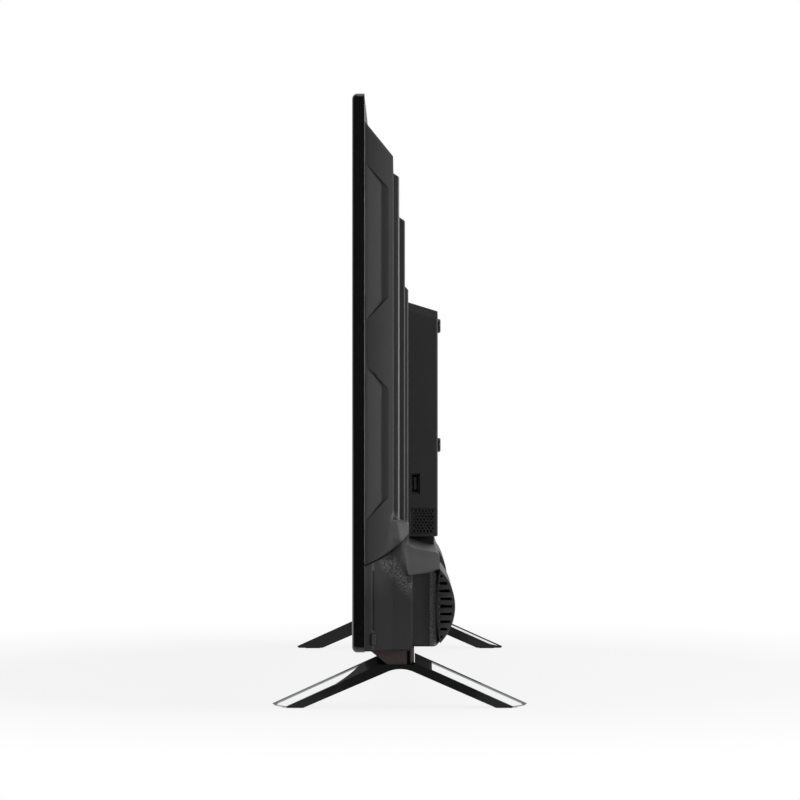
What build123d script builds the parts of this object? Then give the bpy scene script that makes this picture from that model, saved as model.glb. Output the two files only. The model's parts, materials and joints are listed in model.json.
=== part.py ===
from build123d import *
import math
import os

os.makedirs("parts", exist_ok=True)

# All lengths are millimetres. X runs across the screen, the screen faces -Y, Z is up.
# The origin is on the table, under the middle of the screen, midway between the foot tips.

# Cabinet
cabinet_width = 716.0
cabinet_height = 424.0
cabinet_bottom = 46.8
bezel_front = -36.1
bezel_depth = 9.5
cover_wall = 2.4
part_gap = 0.4
overrun = 20.0

# Front bezel
bezel_wall = 2.2
lip_thickness = 1.8
side_border = 9.2
bottom_border = 22.6
bezel_corner_radius = 5.0
bezel_edge_radius = 3.9
window_bevel = 1.2

# Screen module, from the front to the back
panel_gap = 0.3
panel_lap = 5.6
panel_thickness = 1.4
film_thickness = 0.6
diffuser_thickness = 1.5
sheet_steel = 0.8
pan_flange = 9.0
reflector_thickness = 0.3
pan_depth = 20.7
pan_side_inset = 17.0
pan_side_run = 29.0
pan_low_inset = 19.2
pan_low_run = 18.0
pan_high_inset = 23.8
pan_high_run = 45.0

# Light bars
bar_count = 3
lenses_per_bar = 6
bar_end_gap = 32.0
bar_width = 14.0
bar_thickness = 1.0
bar_pitch = 112.0
lens_end_margin = 35.0
lens_radius = 7.5
lens_height = 4.6

# Upper rear cover: a tray, three terraces and a flared band at its foot
seat_thickness = 2.0
seat_gap = 0.3
tray_depth = 21.6
tray_side_inset = 13.0
tray_side_run = 7.0
tray_top_inset = 20.2
tray_top_run = 26.2
terrace_rise = 4.7
terrace_inset = 58.0
terrace_top_inset = 59.4
second_rise = 4.5
second_inset = 108.0
second_top_inset = 90.5
third_rise = 2.8
third_inset = 158.0
third_top_inset = 143.2
terrace_side_draft = 0.6
terrace_top_draft = 3.0
terrace_foot = 132.0
terrace_edge_radius = 1.3
band_top = 146.0
band_crest_drop = 3.6
band_edge_radius = 2.0
part_line_front = 112.2
part_line_middle = 120.7
part_line_middle_share = 0.5
part_line_back = 135.0
part_line_run = 33.6

# Scoops in the side wall of the tray
scoop_depth = 1.5
scoop_front = -25.6
scoop_back = -8.6
scoop_floor_front = -13.8
low_scoop_rise = 18.3
low_scoop_height = 82.4
high_scoop_drop = 70.6
high_scoop_height = 83.3
scoop_splay = 18.0

# Lower rear cover: shoulder, hood, speaker bulges and the neck under the electronics cover
shoulder_back = 9.5
hood_start = 126.2
hood_mid_back = 15.7
hood_mid = 123.0
hood_end_back = 29.0
hood_end = 119.5
housing_back = 31.3
housing_bottom_radius = 5.5
housing_side_radius = 7.0
housing_rear_radius = 2.4
side_recess_depth = 2.8
side_recess_top = 104.6
flank_start = 2.0
flank_run = 51.0
crease_front = -11.2
crease_front_height = 116.3
crease_back_height = 93.4
hollow_depth = 4.2
bulge_end_inset = 61.0
bulge_length = 167.0
bulge_lift = 2.7
bulge_height = 57.5
bulge_radius = 40.9
bulge_sagitta = 11.8
bulge_nose = 11.0
panel_groove_depth = 0.35
panel_groove_front = -21.1
panel_groove_back = -19.6
panel_groove_low = 63.0
panel_groove_high = 107.9
neck_inset = 8.0
neck_back = 28.2

# Electronics cover
box_half_width = 160.0
box_top_front = 319.3
box_top_back = 311.9
box_bottom = 126.8
box_draft = 1.2
box_corner_chamfer = 6.8
box_edge_radius = 1.4
board_window_inset = 13.6
board_window_low = 142.0
board_window_high = 310.0

# Wall-mount standoffs: 200 across, 100 up
mount_spacing_across = 200.0
mount_spacing_up = 100.0
mount_centre_height = 251.2
standoff_radius = 5.9
standoff_reach = 3.0
standoff_bevel = 0.8
mount_hole_radius = 2.0
mount_hole_depth = 12.0
standoff_clearance = 0.4

# Side socket recess and perforated patches of the electronics cover
side_port_low = 162.0
side_port_high = 178.6
side_port_front = 7.9
side_port_back = 16.6
patch_low = 129.0
patch_high = 150.0
patch_front = 9.0
patch_back = 29.6
patch_thickness = 1.2
patch_ledge = 0.9
perforation_radius = 0.95
perforation_pitch = 2.75
top_vent_count = 17
top_vent_width = 2.4
top_vent_length = 17.0
top_vent_pitch = 7.0

# Rear socket pocket
pocket_inset = 42.0
pocket_width = 90.0
pocket_low = 133.0
pocket_high = 178.0
pocket_floor = 10.6
io_plate_thickness = 0.8
io_plate_back = 27.0
io_ledge = 2.5
socket_clearance = 0.2

# Boards
board_thickness = 1.6
board_back = 9.8
main_board_left = 9.0
main_board_inset = 14.5
main_board_low = 182.0
main_board_high = 292.0
power_board_low = 160.0
board_leg_inset = 8.0
board_leg_width = 30.0
board_leg_low = 158.0
board_post_radius = 3.0
board_post_margin = 6.0
board_standoff_hole_radius = 9.0
board_screw_radius = 1.4
board_screw_head_radius = 2.8
board_screw_head = 1.6
timing_half_width = 68.0
timing_low = 92.0
timing_high = 122.0
timing_lift = 3.0
ribbon_thickness = 0.4
ribbon_width = 22.0

# Parts on the boards: centre across, centre up, width, height, thickness. The tuner and the mains
# filter are placed inwards from the outer edge of their board, the others from the middle of the set.
tuner_place = (21.5, 212.0, 22.0, 30.0, 9.0)
chip_place = (58.0, 246.0, 27.0, 27.0, 2.6)
memory_place = (92.0, 246.0, 14.0, 10.0, 1.2)
connector_place = (26.0, 210.0, 26.0, 6.0, 4.0)
sink_fin_count = 6
sink_fin_thickness = 1.2
sink_height = 12.0
transformer_place = (-62.0, 226.0, 34.0, 30.0, 17.0)
filter_place = (27.5, 250.0, 22.0, 18.0, 14.0)
capacitor_places = ((-96.0, 276.0), (-38.0, 192.0), (-58.0, 192.0))
capacitor_radius = 6.5
capacitor_length = 17.0
down_socket_shares = (0.12, 0.31, 0.48, 0.61, 0.75)

# Sockets
socket_width = 15.0
socket_height = 6.0
socket_length = 14.0
socket_wall = 0.5
tongue_thickness = 2.2
tongue_width = 10.4
jack_radius = 4.2
jack_bore_radius = 1.8
jack_length = 14.0
aerial_radius = 4.7
aerial_bore_radius = 2.0
inlet_rise = 36.0
inlet_middle = 18.0
inlet_half_span = 4.3
inlet_radius = 4.2
inlet_wall = 2.2
inlet_depth = 12.0
inlet_pin_radius = 1.2
inlet_pin_length = 9.0

# Speakers
speaker_box_end_gap = 6.0
speaker_box_setback = 15.0
speaker_box_front = -4.0
speaker_box_back = 26.0
speaker_box_height = 53.0
speaker_box_wall = 2.0
driver_width = 28.0
driver_height = 52.0
driver_plate = 2.0
driver_cone_depth = 7.0
driver_surround = 2.0
driver_dish_angle = 30.0
magnet_radius = 11.0
magnet_depth = 8.0
grille_thickness = 1.6
grille_rim = 2.4
grille_gap = 0.3
grille_edge_radius = 0.6
grille_front_sagitta = 2.9
slot_count = 9
slot_pitch = 5.9
slot_height = 2.0

# Feet
foot_inset = 58.0
foot_reach = 99.2
foot_width = 22.0
foot_tip_height = 2.2
foot_front_shoulder = -17.4
foot_front_shoulder_height = 39.3
foot_back_shoulder = 11.7
foot_back_shoulder_height = 41.5
yoke_top = 34.0
yoke_front = -9.7
arch_height = 30.6
arch_middle = 0.6
arch_half_span = 9.0
arch_drop = 1.6
sole_length = 24.6
sole_height = 0.6
sole_tip_gap = 1.7
facet_drop = 6.0
outer_tip_height = 1.2
trim_thickness = 0.7
trim_edge_inner = 3.2
trim_edge_outer = 1.6
trim_tip_gap = 4.2
trim_front_start = 32.0
trim_front_taper = 18.0
trim_front_bow = 3.0
trim_back_start = 25.0
foot_neck_top_front = -25.4
foot_neck_bottom_front = -9.4
foot_neck_back = 11.2
foot_neck_width = 19.0
foot_neck_radius = 4.6
foot_neck_slot_front = 5.6
foot_neck_slot_back = 8.0
foot_neck_slot_depth = 2.5
pad_length = 14.0
pad_width = 8.0
pad_thickness = 1.6
pad_setback = 15.2
pad_inset = 3.0
foot_screw_radius = 1.9
foot_screw_head_radius = 3.4
foot_screw_head = 1.7
foot_screw_top = 58.0
foot_screw_middle = 1.0
foot_screw_half_spacing = 5.4
screw_clearance = 0.15
bracket_height = 13.0
bracket_half_width = 12.0
bracket_front = -20.0
bracket_back = 6.8

# Push key on the right side panel
key_height = 9.2
key_depth = 3.6
key_centre_height = 55.8
key_centre_depth = -19.8
key_proud = 0.9
key_travel = 0.8
key_clearance = 0.25
key_collar = 1.4
key_collar_thickness = 1.0
key_stem_gap = 0.4
key_board_setback = 6.2
key_board_height = 13.3
key_board_width = 12.0
switch_size = 6.0
switch_height = 3.6
plunger_radius = 1.6
plunger_rest_gap = 0.2

# Remote sensor
sensor_window_width = 14.0
sensor_window_height = 4.0
sensor_board_thickness = 1.0
sensor_board_width = 30.0
sensor_board_height = 9.0
sensor_radius = 2.4

# Cover screws
screw_radius = 1.4
screw_head_radius = 3.0
screw_head = 1.8
screw_well = 2.0
boss_radius = 3.4
cover_screw_inset = 74.0
low_cover_screw_rise = 12.0
middle_cover_screw_height = 262.0
high_cover_screw_drop = 106.8
top_screw_across = 96.0
top_screw_inset = 73.8
low_screw_inset = 40.0
low_screw_lift = 11.2
box_screw_inset = 9.5
box_screw_heights = (222.0, 290.0)

# Worked out from the sizes above
half_width = cabinet_width / 2
cabinet_top = cabinet_bottom + cabinet_height
cover_seat = bezel_front + bezel_depth
tray_back = cover_seat + tray_depth
terrace_back = tray_back + terrace_rise
second_back = terrace_back + second_rise
third_back = second_back + third_rise
panel_front = bezel_front + lip_thickness + panel_gap
film_front = panel_front + panel_thickness
diffuser_front = film_front + film_thickness
flange_front = diffuser_front + diffuser_thickness
pan_front = flange_front + sheet_steel
pan_back = pan_front + pan_depth
standoff_end = housing_back + standoff_reach
tray_front_half_width = half_width - tray_side_inset
tray_back_half_width = tray_front_half_width - tray_side_run
tray_front_top = cabinet_top - tray_top_inset
tray_back_top = tray_front_top - tray_top_run
terrace_half_width = half_width - terrace_inset
terrace_top = cabinet_top - terrace_top_inset
second_half_width = half_width - second_inset
second_top = cabinet_top - second_top_inset
third_half_width = half_width - third_inset
third_top = cabinet_top - third_top_inset
wall_slope = tray_side_run / tray_depth
pan_front_half_width = half_width - pan_side_inset
pan_back_half_width = pan_front_half_width - pan_side_run
pan_front_low = cabinet_bottom + pan_low_inset
pan_back_low = pan_front_low + pan_low_run
pan_front_high = cabinet_top - pan_high_inset
pan_back_high = pan_front_high - pan_high_run
bar_length = 2 * (pan_back_half_width - bar_end_gap)
lens_pitch = (bar_length - 2 * lens_end_margin) / (lenses_per_bar - 1)
bulge_end = half_width - bulge_end_inset
bulge_inner = bulge_end - bulge_length
bulge_low = cabinet_bottom + bulge_lift
bulge_high = bulge_low + bulge_height
bulge_centre_back = housing_back + bulge_sagitta - bulge_radius
bulge_middle = (bulge_low + bulge_high) / 2
housing_half_width = bulge_end - side_recess_depth
speaker_box_inner = bulge_inner + speaker_box_end_gap
speaker_box_outer = bulge_end - speaker_box_setback
speaker_box_low = cabinet_bottom + cover_wall + seat_gap
speaker_box_high = speaker_box_low + speaker_box_height
foot_middle = half_width - foot_inset
sole_inner = foot_reach - sole_length
trim_end = foot_reach - trim_tip_gap
pad_middle = foot_reach - pad_setback
key_stem_end = tray_back_half_width - key_stem_gap
key_board_face = key_stem_end - key_board_setback
cover_screw_across = half_width - cover_screw_inset
top_screw_height = cabinet_top - top_screw_inset
low_screw_across = half_width - low_screw_inset
low_screw_height = cabinet_bottom + low_screw_lift
inlet_height = power_board_low + inlet_rise
low_scoop = (band_top + low_scoop_rise, band_top + low_scoop_rise + low_scoop_height)
high_scoop = (cabinet_top - high_scoop_drop - high_scoop_height, cabinet_top - high_scoop_drop)
low_cover_screw_height = band_top + low_cover_screw_rise
high_cover_screw_height = cabinet_top - high_cover_screw_drop
cover_screw_heights = (low_cover_screw_height, middle_cover_screw_height, high_cover_screw_height)
neck_half_width = box_half_width - neck_inset
board_window_half_width = box_half_width - board_window_inset
box_screw_across = box_half_width - box_screw_inset
main_board_right = box_half_width - main_board_inset
pocket_right = box_half_width - pocket_inset
pocket_left = pocket_right - pocket_width
board_leg_right = box_half_width - board_leg_inset
board_leg_left = board_leg_right - board_leg_width


def block(low, high):
    """A box between two opposite corners."""
    size = [b - a for a, b in zip(low, high)]
    middle = [(a + b) / 2 for a, b in zip(low, high)]
    return Pos(*middle) * Box(*size)


def facing_viewer(depth):
    """A drawing plane at one depth: across is X, up is Z."""
    return Plane(origin=(0, depth, 0), x_dir=(1, 0, 0), z_dir=(0, -1, 0))


def facing_side(across):
    """A drawing plane at one X: across is Y, up is Z."""
    return Plane(origin=(across, 0, 0), x_dir=(0, 1, 0), z_dir=(1, 0, 0))


def rod(start, radius, length, direction):
    """A round bar from a point, along a direction."""
    return Plane(origin=start, z_dir=direction) * extrude(Circle(radius), length)


def rear_rod(x, z, radius, start, end):
    """A round bar that runs from front to back."""
    return rod((x, start, z), radius, end - start, (0, 1, 0))


def tapered_slab(front, front_size, back, back_size):
    """A slab between two depths. A size is its half width, lowest and highest edge."""
    ends = []
    for depth, (half, low, high) in ((front, front_size), (back, back_size)):
        ends.append(facing_viewer(depth) * Pos(0, (low + high) / 2) * Rectangle(2 * half, high - low))
    return loft(ends, ruled=True)


def shrink(size, inset):
    """A slab's size with every edge drawn in."""
    half, low, high = size
    return (half - inset, low + inset, high - inset)


def side_profile(points, radii, inset=0):
    """A closed outline seen from the side, drawn in by an inset."""
    outline = make_face(FilletPolyline(*points, radius=radii, close=True))
    return offset(outline, -inset, kind=Kind.INTERSECTION) if inset else outline


def across_body(profile, half):
    """A side outline carried across the cabinet, the same way left and right."""
    return Pos(-half, 0, 0) * extrude(facing_side(0) * profile, 2 * half)


def mirrored(shape):
    """The twin of a shape on the other half of the cabinet."""
    return mirror(shape, about=Plane.YZ)


def save(name, solids):
    """One file for one named piece, or for a set of like pieces."""
    bodies = []
    for item in solids if isinstance(solids, list) else [solids]:
        bodies.extend(item.solids())
    export_step(bodies[0] if len(bodies) == 1 else Compound(bodies), f"parts/{name}.step")


# Rear covers

def terrace(front, back, half, top, inset):
    """One raised step of the upper cover, with a soft rim when it is the outer skin."""
    foot = (half + terrace_side_draft, terrace_foot, top + terrace_top_draft)
    crest = (half, terrace_foot, top)
    step = tapered_slab(front - inset, shrink(foot, inset), back - inset, shrink(crest, inset))
    if inset:
        return step
    rim = step.faces().sort_by(Axis.Y)[-1].edges().sort_by(Axis.Z)[1:]
    return fillet(rim, terrace_edge_radius)


def shoulder_outline():
    """Side outline of the band and the shoulder, right across the cabinet."""
    crest = band_top - band_crest_drop
    points = [
        (cover_seat, cabinet_bottom),
        (cover_seat, band_top),
        (tray_back, band_top),
        (third_back, crest),
        (third_back, hood_start),
        (shoulder_back, hood_start - (shoulder_back - third_back)),
        (shoulder_back, cabinet_bottom),
    ]
    return points, [0, 0, 0, band_edge_radius, 0, 0, band_edge_radius]


def hood_outline():
    """Side outline of the speaker housing under its sloping hood."""
    points = [
        (tray_back, cabinet_bottom),
        (tray_back, hood_start),
        (third_back, hood_start),
        (hood_mid_back, hood_mid),
        (hood_end_back, hood_end),
        (housing_back, hood_end - (housing_back - hood_end_back)),
        (housing_back, cabinet_bottom),
    ]
    return points, [0, 0, 0, 0, housing_rear_radius, housing_rear_radius, housing_bottom_radius]


def beyond_plane(corners, inset, low, high):
    """Everything outside a slanted face of the right half, between two heights."""
    first, second, third = [Vector(*corner) for corner in corners]
    outwards = (second - first).cross(third - first)
    face = Plane(origin=first, z_dir=outwards).offset(-inset)
    outside = extrude(face * Rectangle(cabinet_width, cabinet_width), cabinet_width)
    layer = block((0, tray_back - overrun, low), (cabinet_width, cabinet_height, high))
    return outside & layer


def flank_cut(inset):
    """What the hood's flank leaves out: a long slant from the side panel to the hood's ridge."""
    corners = (
        (tray_back_half_width, flank_start, hood_start),
        (tray_back_half_width, shoulder_back, crease_back_height),
        (tray_back_half_width - flank_run, hood_end_back, hood_end),
    )
    return beyond_plane(corners, inset, side_recess_top, band_top)


def hollow_cut(inset):
    """The three-cornered hollow in the side panel, from its crease up to the hood's lip."""
    corners = (
        (tray_back_half_width, crease_front, crease_front_height),
        (tray_back_half_width, shoulder_back, crease_back_height),
        (tray_back_half_width - hollow_depth, shoulder_back, side_recess_top),
    )
    return beyond_plane(corners, inset, cabinet_bottom, side_recess_top + inset)


def fairing(inset):
    """The hood carried out to the right side panel, above the recess."""
    section = side_profile(*hood_outline(), inset)
    height = 2 * (cabinet_height - side_recess_top - inset)
    section &= Pos(0, cabinet_height) * Rectangle(cabinet_width, height)
    start = housing_half_width - overrun
    return extrude(facing_side(start) * section, tray_back_half_width - inset - start)


def bulge(inset):
    """The D-shaped speaker bulge of the right half, with the nose that carries the grille."""
    front = housing_back - bulge_sagitta / 2
    height = bulge_high - bulge_low - 2 * inset
    circle = Pos(bulge_centre_back, bulge_middle) * Circle(bulge_radius - inset)
    limit = Pos(front + bulge_radius / 2, bulge_middle) * Rectangle(bulge_radius, height)
    shoulder = bulge_end - bulge_nose
    length = shoulder - bulge_inner - 2 * inset
    body = extrude(facing_side(bulge_inner + inset) * (circle & limit), length)
    return body if inset else body + extrude(facing_side(shoulder) * grille_lens(0), bulge_nose)


def back_form(inset):
    """The skin of both rear covers in one, or the space inside when inset is their wall."""
    tray_front_size = (tray_front_half_width, cabinet_bottom, tray_front_top)
    tray_back_size = (tray_back_half_width, cabinet_bottom, tray_back_top)
    form = tapered_slab(
        cover_seat, shrink(tray_front_size, inset), tray_back - inset, shrink(tray_back_size, inset)
    )
    form += terrace(tray_back, terrace_back, terrace_half_width, terrace_top, inset)
    form += terrace(terrace_back, second_back, second_half_width, second_top, inset)
    form += terrace(second_back, third_back, third_half_width, third_top, inset)
    housing_inset = inset + side_recess_depth if inset else 0
    housing = across_body(side_profile(*hood_outline(), inset), housing_half_width - housing_inset)
    if not inset:
        depth = housing_back - cover_seat
        plan = RectangleRounded(2 * housing_half_width, depth, housing_side_radius)
        plan = Pos(0, (housing_back + cover_seat) / 2) * plan
        housing &= extrude(Pos(0, 0, cabinet_bottom) * plan, cabinet_height)
    sides = across_body(side_profile(*shoulder_outline(), inset), tray_back_half_width - inset)
    sides += housing + fairing(inset) + mirrored(fairing(inset))
    cuts = flank_cut(inset) + hollow_cut(inset)
    form += sides - cuts - mirrored(cuts)
    form += block(
        (-neck_half_width + inset, tray_back, hood_mid - overrun),
        (neck_half_width - inset, neck_back - inset, box_bottom - part_gap - inset),
    )
    return form + bulge(inset) + mirrored(bulge(inset))


def cover_flange():
    """The flat rim that sits inside the bezel's back edge."""
    rim = bezel_wall + seat_gap
    outline = RectangleRounded(cabinet_width - 2 * rim, cabinet_height - 2 * rim, bezel_corner_radius - rim)
    middle = cabinet_bottom + cabinet_height / 2
    return extrude(facing_viewer(cover_seat) * Pos(0, middle) * outline, seat_thickness)


def below_part_line(gap):
    """Everything under the parting line, which sweeps up towards the back."""
    end = cover_seat + part_line_run
    middle = cover_seat + part_line_run * part_line_middle_share
    start_point = (cover_seat, part_line_front + gap)
    end_point = (end, part_line_back + gap)
    sweep_up = ThreePointArc(start_point, (middle, part_line_middle + gap), end_point)
    rest = Polyline(
        end_point,
        (housing_back + overrun, part_line_back + gap),
        (housing_back + overrun, cabinet_bottom - overrun),
        (bezel_front - overrun, cabinet_bottom - overrun),
        (bezel_front - overrun, part_line_front + gap),
        start_point,
    )
    return across_body(make_face([sweep_up, rest]), half_width + overrun)


def scoop(low, high):
    """A shallow scoop in the right side wall, deepest along its back edge."""
    front_x = tray_back_half_width + wall_slope * (tray_back - scoop_front)
    floor_x = tray_back_half_width + wall_slope * (tray_back - scoop_floor_front) - scoop_depth
    back_x = tray_back_half_width + wall_slope * (tray_back - scoop_back)
    mouth = [
        (scoop_front, low - scoop_splay),
        (scoop_back, low),
        (scoop_back, high),
        (scoop_front, high + scoop_splay),
    ]
    spread = tray_front_half_width - tray_back_half_width
    section = make_face(
        Polyline(
            (front_x, scoop_front),
            (floor_x, scoop_floor_front),
            (back_x, scoop_back),
            (back_x + spread, scoop_back),
            (front_x + spread, scoop_front),
            close=True,
        )
    )
    tall = high - low + 2 * scoop_splay
    trough = extrude(Pos(0, 0, low - scoop_splay) * section, tall)
    outline = extrude(
        facing_side(tray_back_half_width - spread) * make_face(Polyline(*mouth, close=True)), 4 * spread
    )
    return trough & outline


def cover_screw_places():
    """Centres of the upper cover's screws."""
    places = [(side * cover_screw_across, z) for z in cover_screw_heights for side in (-1, 1)]
    return places + [(side * top_screw_across, top_screw_height) for side in (-1, 1)]


def low_screw_places():
    """Centres of the lower cover's screws."""
    return [(side * low_screw_across, low_screw_height) for side in (-1, 1)]


def box_screw_places():
    """Centres of the electronics cover's screws."""
    return [(side * box_screw_across, z) for z in box_screw_heights for side in (-1, 1)]


def add_bosses(cover, places, skin, end):
    """Screw bosses behind a cover's skin, each with its well and its hole."""
    for x, z in places:
        cover += rear_rod(x, z, boss_radius, end, skin - screw_well)
        cover -= rear_rod(x, z, screw_head_radius + screw_clearance, skin - screw_well, skin + overrun)
        cover -= rear_rod(x, z, screw_radius + screw_clearance, end - sheet_steel, skin)
    return cover


def back_shells():
    """The two rear covers, cut from one skin along the parting line."""
    space = back_form(cover_wall)
    mouth_low = cabinet_bottom + cover_wall
    mouth = block(
        (cover_wall - tray_front_half_width, cover_seat - seat_thickness - overrun, mouth_low),
        (tray_front_half_width - cover_wall, cover_seat + overrun / 2, tray_front_top - cover_wall),
    )
    mouth &= tapered_slab(
        cover_seat - seat_thickness - overrun,
        shrink((tray_front_half_width, cabinet_bottom, tray_front_top), cover_wall),
        cover_seat,
        shrink((tray_front_half_width, cabinet_bottom, tray_front_top), cover_wall),
    )
    shell = back_form(0) + cover_flange() - space - mouth
    for low, high in (low_scoop, high_scoop):
        cut = scoop(low, high)
        shell -= cut + mirrored(cut)
    lower = shell & below_part_line(-part_gap / 2)
    upper = shell - below_part_line(part_gap / 2)
    return upper, lower


def rear_cover(upper):
    """Upper rear cover with its board window and screw bosses."""
    window_low = (-board_window_half_width, tray_back, board_window_low)
    window_high = (board_window_half_width, third_back + overrun, board_window_high)
    cover = upper - block(window_low, window_high)
    cover = add_bosses(cover, cover_screw_places(), terrace_back, pan_back)
    for x, z in box_screw_places():
        cover -= rear_rod(x, z, screw_radius + screw_clearance, second_back - overrun, third_back)
    return cover


def grille_lens(grow):
    """Outline of the speaker grille, a lens between two arcs, seen from the side."""
    half = (bulge_high - bulge_low) / 2
    rear = ThreePointArc(
        (housing_back, bulge_middle - half - grow),
        (housing_back + bulge_sagitta + grow, bulge_middle),
        (housing_back, bulge_middle + half + grow),
    )
    front = ThreePointArc(
        (housing_back, bulge_middle + half + grow),
        (housing_back - grille_front_sagitta - grow, bulge_middle),
        (housing_back, bulge_middle - half - grow),
    )
    return make_face([rear, front])


def lower_rear_cover(lower):
    """Lower rear cover with the openings for grilles, key and foot screws."""
    cover = add_bosses(lower, low_screw_places(), shoulder_back, pan_front)
    window = extrude(facing_side(speaker_box_outer) * grille_lens(-grille_rim), overrun * 2)
    seat = extrude(facing_side(bulge_end) * grille_lens(grille_gap), overrun)
    wall = tray_back_half_width + wall_slope * (tray_back - panel_groove_back)
    groove = block(
        (wall - panel_groove_depth, panel_groove_front, panel_groove_low),
        (tray_front_half_width, panel_groove_back, panel_groove_high),
    )
    for cut in (window, seat, groove):
        cover -= cut + mirrored(cut)
    key_hole = extrude(
        facing_side(key_board_face) * key_outline(key_clearance), tray_front_half_width - key_board_face
    )
    cover -= key_hole
    for x, y in foot_screw_places():
        hole_radius = foot_screw_radius + screw_clearance
        cover -= rod((x, y, cabinet_bottom - overrun), hole_radius, 2 * overrun, (0, 0, 1))
    return cover


def key_outline(grow):
    """The push key's rounded outline, seen from the side."""
    long = key_height + 2 * grow
    wide = key_depth + 2 * grow
    return Pos(key_centre_depth, key_centre_height) * Rot(0, 0, 90) * SlotOverall(long, wide)


def electronics_cover():
    """The box over the boards, with its recesses, pocket and vents."""
    front_size = (box_half_width, box_bottom, box_top_front)
    back_size = (box_half_width - box_draft, box_bottom, box_top_back)
    box = tapered_slab(third_back, front_size, housing_back, back_size)
    ridge = box.faces().sort_by(Axis.Z)[-1].edges().sort_by(Axis.X)
    box = chamfer([ridge[0], ridge[-1]], box_corner_chamfer)
    rim = box.faces().sort_by(Axis.Y)[-1].edges()
    box = fillet(rim, box_edge_radius)
    space = tapered_slab(
        third_back - overrun,
        shrink((box_half_width, box_bottom, box_top_front), cover_wall),
        housing_back - cover_wall,
        shrink(back_size, cover_wall),
    )
    ridge = space.faces().sort_by(Axis.Z)[-1].edges().sort_by(Axis.X)
    space = chamfer([ridge[0], ridge[-1]], box_corner_chamfer)
    cover = box - space
    cover += rear_pocket(cover_wall) & space
    cover -= rear_pocket(0)
    cover -= block(
        (pocket_left + io_ledge, board_back - socket_clearance, pocket_high - panel_gap),
        (pocket_right - io_ledge, io_plate_back - io_ledge, pocket_high + cover_wall),
    )
    for x, z in box_screw_places():
        cover += rear_rod(x, z, boss_radius, third_back, housing_back - screw_well)
        well = housing_back - screw_well
        cover -= rear_rod(x, z, screw_head_radius + screw_clearance, well, standoff_end)
        cover -= rear_rod(x, z, screw_radius + screw_clearance, second_back, housing_back)
    for x, z in mount_places():
        cover -= rear_rod(x, z, standoff_radius + standoff_clearance, housing_back - overrun, standoff_end)
    port_inner = box_half_width - overrun / 2
    cover -= block(
        (port_inner, side_port_front, side_port_low),
        (box_half_width + overrun, side_port_back, side_port_high),
    )
    for side in (-1, 1):
        cover -= patch_window(side)
    cover -= inlet_hole()
    return cover - top_vents()


def rear_pocket(grow):
    """Space of the socket pocket in the back of the electronics cover."""
    return block(
        (pocket_left - grow, pocket_floor - grow, pocket_low - grow),
        (pocket_right + grow, housing_back + overrun - grow, pocket_high + grow),
    )


def patch_window(side):
    """The stepped window that holds one perforated patch."""
    inner = box_half_width - overrun / 2
    through = block(
        (inner, patch_front + patch_ledge, patch_low + patch_ledge),
        (box_half_width + overrun, patch_back - patch_ledge, patch_high - patch_ledge),
    )
    seat = block(
        (box_half_width - box_draft - patch_thickness, patch_front, patch_low),
        (box_half_width + overrun, patch_back, patch_high),
    )
    cut = through + seat
    return cut if side > 0 else mirrored(cut)


def vent_patch(side):
    """One perforated patch of the electronics cover's side, with six-sided holes."""
    outer = box_half_width - box_draft
    plate = block(
        (outer - patch_thickness, patch_front + panel_gap, patch_low + panel_gap),
        (outer, patch_back - panel_gap, patch_high - panel_gap),
    )
    row_pitch = perforation_pitch * math.sqrt(3) / 2
    edge = patch_ledge + perforation_radius
    rows = int((patch_high - patch_low - 2 * edge) / row_pitch) + 1
    columns = int((patch_back - patch_front - 2 * edge) / perforation_pitch)
    low = (patch_low + patch_high - (rows - 1) * row_pitch) / 2
    front = (patch_front + patch_back - (columns - 0.5) * perforation_pitch) / 2
    holes = Sketch()
    for row in range(rows):
        shift = perforation_pitch / 2 * (row % 2)
        for column in range(columns):
            place = (front + column * perforation_pitch + shift, low + row * row_pitch)
            holes += Pos(*place) * RegularPolygon(perforation_radius, 6)
    plate -= extrude(facing_side(outer - 2 * patch_thickness) * holes, 3 * patch_thickness)
    return plate if side > 0 else mirrored(plate)


def top_vents():
    """A row of slots through the sloping top of the electronics cover."""
    slots = Part()
    middle = (third_back + housing_back) / 2
    for index in range(top_vent_count):
        x = (index - (top_vent_count - 1) / 2) * top_vent_pitch
        slots += block(
            (x - top_vent_width / 2, middle - top_vent_length / 2, box_top_back - 2 * cover_wall),
            (x + top_vent_width / 2, middle + top_vent_length / 2, box_top_front + overrun),
        )
    return slots


def mount_places():
    """Centres of the four wall-mount standoffs."""
    return [
        (across * mount_spacing_across / 2, mount_centre_height + up * mount_spacing_up / 2)
        for across in (-1, 1)
        for up in (-1, 1)
    ]


def mount_standoffs():
    """Steel standoffs on the chassis, tapped for the wall bracket's screws."""
    made = []
    for x, z in mount_places():
        post = rear_rod(x, z, standoff_radius, pan_back, standoff_end)
        post = chamfer(post.edges().sort_by(Axis.Y)[-1], standoff_bevel)
        made.append(post - rear_rod(x, z, mount_hole_radius, standoff_end - mount_hole_depth, standoff_end))
    return made


# Screen

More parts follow.
